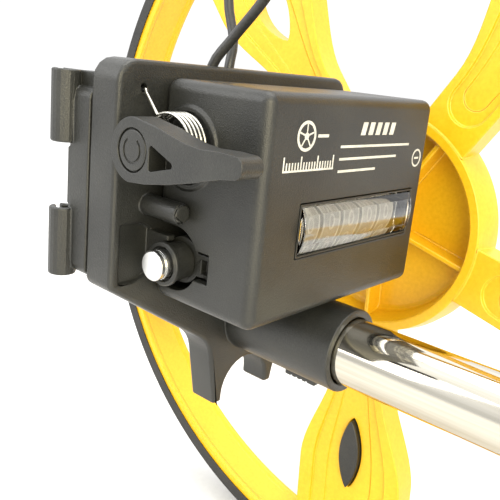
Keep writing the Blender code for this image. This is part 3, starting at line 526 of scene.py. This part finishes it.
def panel(angle, share, start, low, high):
    """A sunk panel of a spoke: its sides keep a share of the spoke's width, and its inner end is round."""
    radius = share * SPOKE_NARROW
    end = arc((start + radius, 0.0), radius, 90.0, 270.0, 12)
    sides = spoke_sides(start + radius + 1.5, PANEL_END, share, 24)
    return prism(turned_outline(end + sides, angle), "Y", low, high)


def rim_solid():
    """The rim, with a shallow rounded channel round its inside."""
    middle = (RIM_NEAR + RIM_FAR) / 2.0
    profile = [
        (RIM_INNER, RIM_NEAR),
        (RIM_OUTER, RIM_NEAR),
        (RIM_OUTER, RIM_FAR),
        (RIM_INNER, RIM_FAR),
        (RIM_INNER, RIM_FAR - 2.0),
        (RIM_INNER + 1.2, RIM_FAR - 3.2),
        (RIM_INNER + 1.4, middle),
        (RIM_INNER + 1.2, RIM_NEAR + 3.2),
        (RIM_INNER, RIM_NEAR + 2.0),
    ]
    return turned(profile, "Y", (0.0, 0.0), 160)


def cup_solid():
    """The open cup round the hub, with the hub's sleeve in its middle."""
    profile = [
        (AXLE_BORE, HUB_NEAR),
        (HUB_RADIUS - 1.0, HUB_NEAR),
        (HUB_RADIUS, HUB_NEAR + 1.0),
        (HUB_RADIUS + 0.5, CUP_FLOOR - 1.0),
        (HUB_RADIUS + 1.5, CUP_FLOOR),
        (CUP_MOUTH - 4.0, CUP_FLOOR),
        (CUP_MOUTH - 2.4, CUP_FLOOR - 1.2),
        (CUP_MOUTH, CUP_NEAR),
        (CUP_MOUTH + 3.5, CUP_NEAR),
        (CUP_OUTER, CUP_NEAR + 8.0),
        (CUP_OUTER, CUP_FAR),
        (AXLE_BORE, CUP_FAR),
    ]
    return turned(profile, "Y", (0.0, 0.0), 120)


def cup_rib(angle):
    """A thin rib on the cup's floor, from the hub to the cup's wall."""
    (start, end), half = (HUB_RADIUS - 1.0, CUP_MOUTH - 0.9), 0.9
    outline = [(start, -half), (end, -half), (end, half), (start, half)]
    return prism(turned_outline(outline, angle), "Y", CUP_NEAR + 3.0, CUP_FLOOR + 1.0)


def spoke_hollows(angle, plugged):
    """What is cut out of a spoke: panels on both faces, and a slot, or a closed pocket for the plug."""
    hollows = [
        panel(angle, PANEL_SHARE, PANEL_START, SPOKE_NEAR - 2.0, SPOKE_NEAR + PANEL_DEPTH),
        panel(angle, INNER_SHARE, INNER_START, SPOKE_NEAR - 2.0, SPOKE_NEAR + INNER_DEPTH),
        panel(angle, PANEL_SHARE, PANEL_START, SPOKE_FAR - PANEL_DEPTH, SPOKE_FAR + 2.0),
    ]
    if plugged:
        pocket = lens_outline(SLOT_START + 1.0, SLOT_END - 3.0, PLUG_HALF + 0.3, angle)
        hollows.append(prism(pocket, "Y", SPOKE_NEAR - 3.0, SPOKE_FAR - 3.0))
    else:
        slot = lens_outline(SLOT_START, SLOT_END, SLOT_HALF, angle)
        hollows.append(prism(slot, "Y", SPOKE_NEAR - 3.0, SPOKE_FAR + 3.0))
    return hollows


def make_wheel():
    """The yellow moulding: rim, cup, spokes and ribs in one piece."""
    wheel = in_metres("wheel_moulding", rim_solid())
    fuse(wheel, cup_solid(), *[spoke_solid(angle) for angle in spoke_angles()])
    fuse(wheel, *[cup_rib(angle) for angle in spoke_angles()])
    hollows = []
    for number, angle in enumerate(spoke_angles()):
        hollows += spoke_hollows(angle, number == 0)
    cut(wheel, *hollows)
    smooth(wheel, 0.45, 2)
    dress(wheel, "yellow_plastic", "wheel_set", ["wheel"])


def make_plug():
    """The pointed index plug in the first spoke's pocket."""
    outline = lens_outline(SLOT_START + 1.8, SLOT_END - 3.8, PLUG_HALF, SPOKE_FIRST)
    index = in_metres("index_plug_shape", prism(outline, "Y", SPOKE_NEAR - 0.4, SPOKE_FAR - 3.3))
    smooth(index, 0.4, 2)
    dress(index, "black_plastic", "wheel_set", ["index_plug"])


def make_tyre():
    """A band with rounded shoulders, grooves round its tread and a thin lip over each edge of the rim."""
    lip, thin, shoulder = WHEEL_RADIUS - 6.2, 0.5, 1.5
    side = WHEEL_RADIUS - shoulder - 0.1
    profile = [(TYRE_INNER, TYRE_NEAR + thin), (lip, TYRE_NEAR + thin), (lip, TYRE_NEAR), (side, TYRE_NEAR)]
    near = arc((TYRE_NEAR + shoulder, WHEEL_RADIUS - shoulder), shoulder, 180.0, 90.0, 6)
    profile += [(radius, y) for y, radius in near]
    grooves, depth, mouth, floor = 5, 0.6, 0.7, 0.35
    for y in spread(TYRE_NEAR, TYRE_FAR, grooves + 1)[1:-1]:
        profile += [(WHEEL_RADIUS, y - mouth), (WHEEL_RADIUS - depth, y - floor)]
        profile += [(WHEEL_RADIUS - depth, y + floor), (WHEEL_RADIUS, y + mouth)]
    far = arc((TYRE_FAR - shoulder, WHEEL_RADIUS - shoulder), shoulder, 90.0, 0.0, 6)
    profile += [(radius, y) for y, radius in far]
    profile += [(side, TYRE_FAR), (lip, TYRE_FAR), (lip, TYRE_FAR - thin), (TYRE_INNER, TYRE_FAR - thin)]
    tyre = in_metres("tyre_band", turned(profile, "Y", (0.0, 0.0), 200))
    smooth(tyre)
    dress(tyre, "tyre", "wheel_set", ["tyre"])


def make_axle():
    """A ground shaft with flat ends, chamfered edges and a groove for a clip behind its near end."""
    groove, groove_near, groove_far = AXLE_RADIUS - 0.5, 1.5, 2.1
    profile = [
        (0.0, 0.0),
        (AXLE_RADIUS - 0.35, 0.0),
        (AXLE_RADIUS, 0.35),
        (AXLE_RADIUS, groove_near),
        (groove, groove_near),
        (groove, groove_far),
        (AXLE_RADIUS, groove_far),
        (AXLE_RADIUS, AXLE_LENGTH - 0.6),
        (AXLE_RADIUS - 0.6, AXLE_LENGTH),
        (0.0, AXLE_LENGTH),
    ]
    axle = in_metres("axle_shaft", turned(profile, "Y", (0.0, 0.0), 64))
    smooth(axle, 0.08, 2)
    dress(axle, "steel", "wheel_set", ["axle"])


def make_bush():
    """The stepped bush round the axle: a flange with a sunk face, then a slim sleeve."""
    low, flange = BUSH_NEAR, BUSH_FLANGE
    profile = [
        (AXLE_BORE, low + 0.9),
        (flange - 1.5, low + 0.9),
        (flange - 1.2, low),
        (flange - 0.3, low),
        (flange, low + 0.3),
        (flange, low + 1.2),
        (flange - 0.3, low + 1.5),
        (BUSH_SLEEVE, low + 1.7),
        (BUSH_SLEEVE, BUSH_FAR),
        (AXLE_BORE, BUSH_FAR),
    ]
    bush = in_metres("front_bush_shape", turned(profile, "Y", (0.0, 0.0), 64))
    smooth(bush, 0.08, 2)
    dress(bush, "black_plastic", "base", ["front_bush"])


# ---------- housing and window ----------


def window_opening():
    """The Y and Z spans of the hole inside the window's frame."""
    return [(low + WINDOW_LIP, high - WINDOW_LIP) for low, high in (WINDOW_Y, WINDOW_Z)]


def make_housing():
    """The counter's box: hollow, with the axle's pocket, the lever's boss and the window's recess."""
    shell = block((HOUSING_BACK, HOUSING_FRONT), (FACE, HOUSING_FAR), (HOUSING_BOTTOM, HOUSING_TOP), 3.2, 6)
    housing = in_metres("counter_housing_shell", shell)
    near, chamfer, behind = FACE - BOSS_PROUD, BOSS_RADIUS - BOSS_PROUD, FACE + 1.0
    boss = [(0.0, near), (chamfer, near), (BOSS_RADIUS, FACE), (BOSS_RADIUS, behind), (0.0, behind)]
    fuse(housing, turned(boss, "Y", LEVER_AXIS, 72))
    inner_x = (HOUSING_BACK - 1.0, HOUSING_FRONT - WALL)
    inner_y = (FACE + WALL, HOUSING_FAR - WALL)
    inner_z = (HOUSING_BOTTOM + WALL, HOUSING_TOP - WALL)
    pocket = [(-20.0, 9.8), (-20.0, -8.2)] + arc((-0.7, 0.8), 9.0, -90.0, 90.0, 28)
    through = FACE + WALL + 1.0
    cut(
        housing,
        block(inner_x, inner_y, inner_z),
        prism(pocket, "Y", FACE - 3.0, through),
        block((4.0, 12.4), (FACE - 2.0, through), (-3.4, 4.8)),
        rod("Y", LEVER_AXIS, BOSS_INNER, FACE - 3.0, FACE + 1.2, 64),
        rod("Y", LEVER_AXIS, PIVOT_BORE, FACE - 4.0, through),
        rod("Y", (0.0, 0.0), AXLE_BORE + 2.0, HOUSING_FAR - WALL - 1.0, HOUSING_FAR + 2.0),
        block((WINDOW_FLOOR, HOUSING_FRONT + 2.0), WINDOW_Y, WINDOW_Z),
        block((WINDOW_FLOOR - 4.0, HOUSING_FRONT), *window_opening()),
    )
    smooth(housing, 0.25, 2)
    dress(housing, "black_plastic", "base", ["counter_housing"])


def make_ridge():
    """The raised edge of the plate's D-shaped recess, beside the axle's bush."""
    radius, centre, end = 8.6, (1.2, 1.0), -3.4
    outline = [(end, centre[1] + radius)] + arc(centre, radius, 90.0, -90.0, 32) + [(end, centre[1] - radius)]
    ridge = in_metres("plate_ridge", swept([Vector((PLATE_FRONT, y, z)) for y, z in outline], 0.45, 12))
    smooth(ridge, angle=60.0)
    dress(ridge, "black_plastic", "base", [])


def make_lens():
    """The bulging clear lens, with a wall at each end."""
    opening_y, opening_z = window_opening()
    half = (opening_z[1] - opening_z[0]) / 2.0 - 0.3
    bulge, thick, end_wall = 1.8, 1.1, 1.2
    radius = (half * half + bulge * bulge) / (2.0 * bulge)
    reach = math.degrees(math.asin(half / radius))
    centre = (HOUSING_FRONT - radius + bulge - 0.2, sum(WINDOW_Z) / 2.0)
    low, high = opening_y[0] + 0.3, opening_y[1] - 0.3
    lens = in_metres("window_lens_shape", prism(arc(centre, radius, -reach, reach, 40), "Y", low, high))
    hollow = arc(centre, radius - thick, -reach - 4.0, reach + 4.0, 40)
    cut(lens, prism(hollow, "Y", low + end_wall, high - end_wall))
    smooth(lens, 0.15, 2, 50.0)
    dress(lens, "clear_window", "base", ["window_lens"])


def make_bezel():
    """The thin frame round the lens."""
    span_y, span_z = [(low + 0.3, high - 0.3) for low, high in (WINDOW_Y, WINDOW_Z)]
    bezel = in_metres("window_bezel_shape", block((WINDOW_FLOOR + 0.3, HOUSING_FRONT + 0.1), span_y, span_z))
    cut(bezel, block((WINDOW_FLOOR - 1.0, HOUSING_FRONT + 2.0), *window_opening()))
    smooth(bezel, 0.12, 2)
    dress(bezel, "black_plastic", "base", ["window_bezel"])


def make_drums():
    """The counter drums, each with a thin pale band at both edges, painted as a reflection of its rim, and
    the digits 0 to 9 between them.
    """
    for number in range(1, DRUM_COUNT + 1):
        low = DRUM_FIRST - (number - 1) * DRUM_PITCH
        high = low + DRUM_WIDTH
        profile = [(1.8, low + 0.8), (3.2, low), (DRUM_RADIUS - 2.0, low), (DRUM_RADIUS, low + 0.4)]
        profile += [(DRUM_RADIUS, high - 0.4), (DRUM_RADIUS - 2.0, high), (3.2, high), (1.8, high - 0.8)]
        drum = in_metres(f"counter_drum_{number}", turned(profile, "Y", DRUM_AXIS, 80))
        smooth(drum)
        dress(drum, "drum_plastic", f"drum_{number}", [f"digit_drum_{number}"])
        # the pale bands at the drum's edges are painted reflections of its rims, in the digits' material
        rim_reflections = [drum_band(low + 0.5), drum_band(high - 1.1)]
        marks = in_metres(f"drum_digits_{number}", joined(drum_digits((low + high) / 2.0), *rim_reflections))
        dress(marks, "digits", f"drum_{number}", [])


def drum_band(low):
    """A narrow pale band round a drum, a little proud of it, that paints a reflection of the drum's rim."""
    inner, outer, high = DRUM_RADIUS - 0.5, DRUM_RADIUS + 0.12, low + 0.6
    return turned([(inner, low), (outer, low), (outer, high), (inner, high)], "Y", DRUM_AXIS, 80)


def digit_shape(digit):
    """A flat digit, thin along Z, centred on its own origin."""
    text = bpy.data.curves.new("digit", "FONT")
    text.body = str(digit)
    text.size = DIGIT_SIZE
    text.align_x = "CENTER"
    text.align_y = "CENTER"
    text.extrude = 0.04
    holder = bpy.data.objects.new("digit", text)
    mesh = bpy.data.meshes.new_from_object(holder)
    bpy.data.objects.remove(holder)
    bpy.data.curves.remove(text)
    shape = bmesh.new()
    shape.from_mesh(mesh)
    bpy.data.meshes.remove(mesh)
    return shape


def drum_digits(middle):
    """Ten digits wrapped round a drum, the first of them facing the window."""
    x, z = DRUM_AXIS
    whole = bmesh.new()
    for digit in range(10):
        shape = digit_shape(digit)
        for vertex in shape.verts:
            angle = vertex.co.y / DRUM_RADIUS + 2.0 * math.pi * digit / 10.0
            radius = DRUM_RADIUS + 0.05 + vertex.co.z
            vertex.co = (x + radius * math.cos(angle), middle + vertex.co.x, z + radius * math.sin(angle))
        whole = joined(whole, shape)
    return whole


def make_marks():
    """Plain white marks printed on the housing's front: a small wheel, rules and bars, with no lettering."""
    low, high = HOUSING_FRONT + 0.02, HOUSING_FRONT + 0.07
    flat = []

    def bar(y0, y1, z0, z1, slant=0.0):
        flat.append(prism([(y0, z0), (y1, z0), (y1 + slant, z1), (y0 + slant, z1)], "X", low, high))

    def ring(centre, inner, outer):
        profile = [(inner, low), (outer, low), (outer, high), (inner, high)]
        flat.append(turned(profile, "X", centre, 40))

    # the small wheel and the dash beside it
    y, z = 23.8, 38.0
    tyre, hub, half = 3.1, 0.9, 0.22
    ring((y, z), tyre, tyre + 0.8)
    ring((y, z), 0.0, hub)
    for k in range(5):
        angle = math.radians(18.0 + 72.0 * k)
        spoke = turned_outline([(hub, -half), (3.2, -half), (3.2, half), (hub, half)], angle)
        flat.append(prism([(y + u, z + v) for u, v in spoke], "X", low, high))
    bar(28.6, 33.4, 37.6, 38.4)

    # the scale: its base line, and 19 strokes of which every sixth is tall
    start, end, base, top = 15.4, 37.1, 29.0, 29.5
    bar(start, end, base, top)
    for k in range(19):
        stroke = start + 1.17 * k
        bar(stroke, stroke + 0.5, top, top + (3.4 if k % 6 == 0 else 1.9))

    # five slanted bars, and three rules under them
    for k in range(5):
        left = 48.8 + 3.9 * k
        bar(left, left + 2.4, 38.0, 41.6, 0.9)
    for row, reach in enumerate((77.6, 70.4, 59.0)):
        under = 34.6 - 3.4 * row
        bar(39.6, reach, under, under + 0.7)

    # a ring round a short dash
    ring((84.0, 30.4), 2.3, 2.9)
    bar(82.6, 85.4, 30.1, 30.7)

    marks = in_metres("printed_marks", joined(*flat))
    dress(marks, "print", "base", [])


def make_button():
    """The low button under the tube's socket, with ribs across its underside."""
    low = BUTTON_Z[0]
    button = in_metres("socket_button_shape", block(BUTTON_X, BUTTON_Y, BUTTON_Z, 0.4, 3))
    across = (BUTTON_Y[0] - 1.0, BUTTON_Y[1] + 1.0)
    grooves = []
    for k in range(4):
        start = BUTTON_X[0] + 2.2 + 2.0 * k
        grooves.append(block((start, start + 0.8), across, (low - 1.0, low + 0.5)))
    cut(button, *grooves)
    smooth(button, 0.1, 2)
    dress(button, "black_plastic", "button", ["socket_button"])


# ---------- lever and spring ----------


def lever_outline():
    """The side view of the reset lever: a round head and a tail that narrows, then swells to its tip."""
    head = arc(LEVER_AXIS, 8.0, 75.0, 264.0, 40)
    tail_under = [(6.9, 23.8), (14.8, 25.2), (23.2, 27.2), (31.0, 29.4)]
    tip = arc((34.9, 32.6), 2.6, -72.0, 80.0, 12)
    tail_top = [(30.5, 35.3), (24.6, 35.0), (20.4, 35.4), (15.4, 36.5), (10.4, 37.8)]
    return head + tail_under + tip + tail_top


def lever_blank():
    """The lever's solid, with a broad rounded slope along the top of its tail."""
    mesh = prism(lever_outline(), "Y", LEVER_FRONT, LEVER_BACK)
    tail_x, tail_z = 6.0, 34.5
    along = []
    for edge in mesh.edges:
        ends = [vertex.co for vertex in edge.verts]
        if all(abs(end.y - LEVER_FRONT) < 0.01 and end.z > tail_z and end.x > tail_x for end in ends):
            along.append(edge)
    round_edges(mesh, along, 1.9, 4)
    return mesh


def make_lever():
    """The reset lever: a recess in its tail, a sinking for its cap and a hub behind its head."""
    lever = in_metres("reset_lever_shape", lever_blank())
    recess = rounded([(8.0, 33.6, 0.7), (8.0, 27.0, 0.7), (17.6, 29.6, 0.7)], 4)
    cut(
        lever,
        prism(recess, "Y", LEVER_FRONT - 1.0, LEVER_BACK - 1.6),
        rod("Y", LEVER_AXIS, CAP_RADIUS + 0.3, LEVER_FRONT - 1.0, LEVER_FRONT + 1.0, 72),
    )
    fuse(lever, rod("Y", LEVER_AXIS, 5.2, LEVER_BACK - 0.4, FACE - 1.8))
    cut(lever, rod("Y", LEVER_AXIS, PIVOT_BORE, LEVER_FRONT + 2.3, FACE))
    smooth(lever, 0.25, 3)
    dress(lever, "black_plastic", "lever", ["reset_lever"])


def make_cap():
    """The round cap on the lever's head, with a curved line cut into it."""
    near, far = LEVER_FRONT + 0.05, LEVER_FRONT + 0.95
    profile = [(0.0, near), (CAP_RADIUS - 0.8, near), (CAP_RADIUS - 0.2, near + 0.15)]
    profile += [(CAP_RADIUS, near + 0.55), (CAP_RADIUS, far), (0.0, far)]
    cap = in_metres("lever_cap_shape", turned(profile, "Y", LEVER_AXIS, 56))
    line = arc(LEVER_AXIS, 3.3, 125.0, 415.0, 28) + arc(LEVER_AXIS, 2.7, 415.0, 125.0, 28)
    cut(cap, prism(line, "Y", near - 0.85, near + 0.35))
    smooth(cap, 0.08, 2)
    dress(cap, "black_plastic", "lever", ["lever_cap"])


def make_spring():
    """The bright return spring: a hook over the plate, then turns round the lever's hub."""
    x, z = LEVER_AXIS[0] + SPRING_LIFT, LEVER_AXIS[1] + SPRING_LIFT
    steps, first_angle, first_y = 40, math.radians(118.0), 0.3
    points = [Vector((PLATE_FRONT - 1.6, 2.0, 45.2)), Vector((PLATE_FRONT, 2.0, 45.2))]
    points += [Vector((PLATE_FRONT + 0.7, 1.95, 44.9)), Vector((PLATE_FRONT + 1.1, 1.8, 44.2))]
    for k in range(round(SPRING_TURNS * steps) + 1):
        angle = first_angle - 2.0 * math.pi * k / steps
        y = first_y + SPRING_PITCH * k / steps
        points.append(Vector((x + SPRING_RADIUS * math.cos(angle), y, z + SPRING_RADIUS * math.sin(angle))))
    spring = in_metres("torsion_spring_wire", swept(points, SPRING_WIRE, 12))
    smooth(spring, angle=60.0)
    dress(spring, "spring_steel", "base", ["torsion_spring"])


# ---------- handle ----------


def make_tubes():
    """The two chrome tubes of the handle."""
    for node, (low, high) in TUBE_SPANS.items():
        inner = TUBE_RADIUS - TUBE_WALL
        profile = [(inner, low), (TUBE_RADIUS - 0.2, low), (TUBE_RADIUS, low + 0.3)]
        profile += [(TUBE_RADIUS, high - 0.3), (TUBE_RADIUS - 0.2, high), (inner, high)]
        made = in_metres(node + "_bright", turned(profile, "X", (TUBE_Y, TUBE_Z), 128))
        smooth(made)
        dress(made, "chrome", FRAME["nodes"][node]["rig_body"], [node])


def cable_routes():
    """Where the two cables run before they reach the tube, and their side position along it."""
    near, far = TUBE_Y - CABLE_SIDE, TUBE_Y + CABLE_SIDE
    brake = [
        (-14.0, 30.8, 42.0),
        (-14.0, 30.8, PLATE_TOP),
        (-8.0, 32.6, 61.0),
        (0.0, 33.1, 69.5),
        (14.0, 32.5, 84.0),
        (42.0, 34.0, 104.0),
        (85.0, 38.0, 112.0),
        (128.0, 41.5, 94.0),
        (160.0, 43.5, 50.0),
        (184.0, near, 4.0),
        (212.0, near, CABLE_Z + 2.0),
        (240.0, near, CABLE_Z),
    ]
    reset = [
        (-15.0, 38.9, 42.0),
        (-15.0, 38.9, PLATE_TOP),
        (-16.5, 41.4, 60.5),
        (-21.0, 42.5, 72.5),
        (-21.0, 43.5, 88.0),
        (-6.0, 46.0, 110.0),
        (34.0, 50.0, 127.0),
        (85.0, 56.0, 128.0),
        (134.0, 61.0, 104.0),
        (168.0, 63.4, 54.0),
        (190.0, far, 6.0),
        (216.0, far, CABLE_Z + 2.0),
        (244.0, far, CABLE_Z),
    ]
    return {"brake_cable": (brake, near), "reset_cable": (reset, far)}


def make_cables():
    """Each cable is one piece from the plate to the grip, with its points closer together where it passes the
    fold.
    """
    for name, (loop, side) in cable_routes().items():
        points = smooth_route(loop, 3.0)
        coarse, fine = 6.0, 1.0
        ahead = points[-1].x + coarse
        while ahead < CABLE_END:
            points.append(Vector((ahead, side, CABLE_Z)))
            ahead += fine if BEND_START - coarse < ahead < BEND_END + coarse else coarse
        points.append(Vector((CABLE_END, side, CABLE_Z)))
        cable = in_metres(name, swept(points, CABLE_RADIUS, 16))
        smooth(cable, angle=60.0)
        dress(cable, "cable_jacket", None, [name + "_lower", name + "_upper"])
        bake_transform(cable)


def refine_others():
    """Every CAD node whose shape is right as it is gets rounded edges and its material."""
    widths = {
        "mounting_plate": 0.5,
        "rear_cover": 0.5,
        "brake_arm": 0.25,
        "brake_pad": 0.3,
        "hub_nut": 0.4,
        "hub_washer": 0.2,
        "rear_bush": 0.2,
        "lever_pivot": 0.0,
        "fold_base": 0.4,
        "fold_head": 0.4,
        "fold_pin": 0.3,
        "fold_lever": 0.5,
        "grip_body": 0.4,
        "grip_sleeve": 0.3,
        "grip_end_cap": 0.3,
        "brake_trigger": 0.8,
        "reset_thumb": 0.6,
        "trigger_pin": 0.2,
        "thumb_pin": 0.2,
        "counter_frame": 0.15,
        "drum_shaft": 0.1,
        "pinion_shaft": 0.1,
        "drive_gear": 0.1,
        "idler_gear": 0.08,
        "drum_gear": 0.1,
    }
    widths.update({f"cover_screw_{k}": 0.25 for k in range(1, 5)})
    widths.update({f"cable_clip_{k}": 0.25 for k in range(1, 4)})
    widths.update({f"transfer_pinion_{k}": 0.08 for k in range(1, DRUM_COUNT)})
    for node, width in widths.items():
        refine(node, width)


# ---------- stage ----------


def add_floor():
    """The pale floor that the wheel stands on."""
    span = (-FLOOR_REACH, FLOOR_REACH)
    height = -WHEEL_RADIUS * MM - FLOOR_GAP
    mesh = bmesh.new()
    mesh.faces.new([mesh.verts.new((x, y, height)) for x, y in rectangle(span, span)])
    data = bpy.data.meshes.new("floor")
    mesh.to_mesh(data)
    mesh.free()
    floor = bpy.data.objects.new("floor", data)
    bpy.context.scene.collection.objects.link(floor)
    data.materials.append(moulded("floor_paper", (0.63, 0.63, 0.63), (0.67, 0.67, 0.67), 0.8, 400.0, 0.02))


def add_softbox(name, place, target, size, power, tint):
    """A square area light of a size in metres and a power in watts, turned to its target."""
    light = bpy.data.lights.new(name, "AREA")
    light.shape = "SQUARE"
    light.size = size
    light.energy = power
    light.color = tint
    made = bpy.data.objects.new(name, light)
    made.location = place
    made.rotation_euler = (Vector(target) - Vector(place)).to_track_quat("-Z", "Y").to_euler()
    bpy.context.scene.collection.objects.link(made)


def add_lights():
    """Soft light from a pale sky that brightens overhead, and three softboxes."""
    world = bpy.data.worlds.new("studio")
    world.use_nodes = True
    nodes, links = world.node_tree.nodes, world.node_tree.links
    ahead = nodes.new("ShaderNodeTexCoord")
    split = nodes.new("ShaderNodeSeparateXYZ")
    rise = nodes.new("ShaderNodeMapRange")
    socket(rise, "To Min", SKY_LOW)
    socket(rise, "To Max", SKY_HIGH)
    links.new(ahead.outputs["Generated"], split.inputs["Vector"])
    links.new(split.outputs["Z"], rise.inputs["Value"])
    links.new(rise.outputs["Result"], nodes["Background"].inputs["Strength"])
    socket(nodes["Background"], "Color", (1.0, 1.0, 1.0, 1.0))
    bpy.context.scene.world = world
    add_softbox("overhead", (0.1, 0.1, 1.3), (0.05, 0.05, 0.0), 1.2, 16.0, (1.0, 0.98, 0.92))
    add_softbox("front_left", (-0.8, -1.0, 0.7), (0.0, 0.05, 0.0), 0.9, 9.0, (1.0, 1.0, 1.0))
    add_softbox("right", (1.0, -0.7, 0.35), (0.05, 0.05, 0.0), 0.9, 20.0, (1.0, 0.89, 0.58))
    bpy.context.scene.view_settings.view_transform = "Standard"


def add_camera():
    """The camera, close to the counter and looking a little down on it."""
    data = bpy.data.cameras.new("camera")
    data.sensor_width = CAMERA_SENSOR
    data.lens = CAMERA_LENS
    data.shift_x, data.shift_y = CAMERA_SHIFT
    data.clip_start = 0.005
    camera = bpy.data.objects.new("camera", data)
    camera.location = CAMERA_PLACE
    camera.rotation_euler = [math.radians(turn) for turn in CAMERA_TURNS]
    bpy.context.scene.collection.objects.link(camera)
    bpy.context.scene.camera = camera


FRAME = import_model()
SLOTS = {part["node"]: part["material_slot"] for part in FRAME["record"]["subparts"]}
add_camera()
add_lights()
add_floor()
LOOKS = make_looks()
make_wheel()
make_plug()
make_tyre()
make_axle()
make_bush()
make_housing()
make_ridge()
make_lens()
make_bezel()
make_drums()
make_marks()
make_button()
make_lever()
make_cap()
make_spring()
make_tubes()
make_cables()
refine_others()
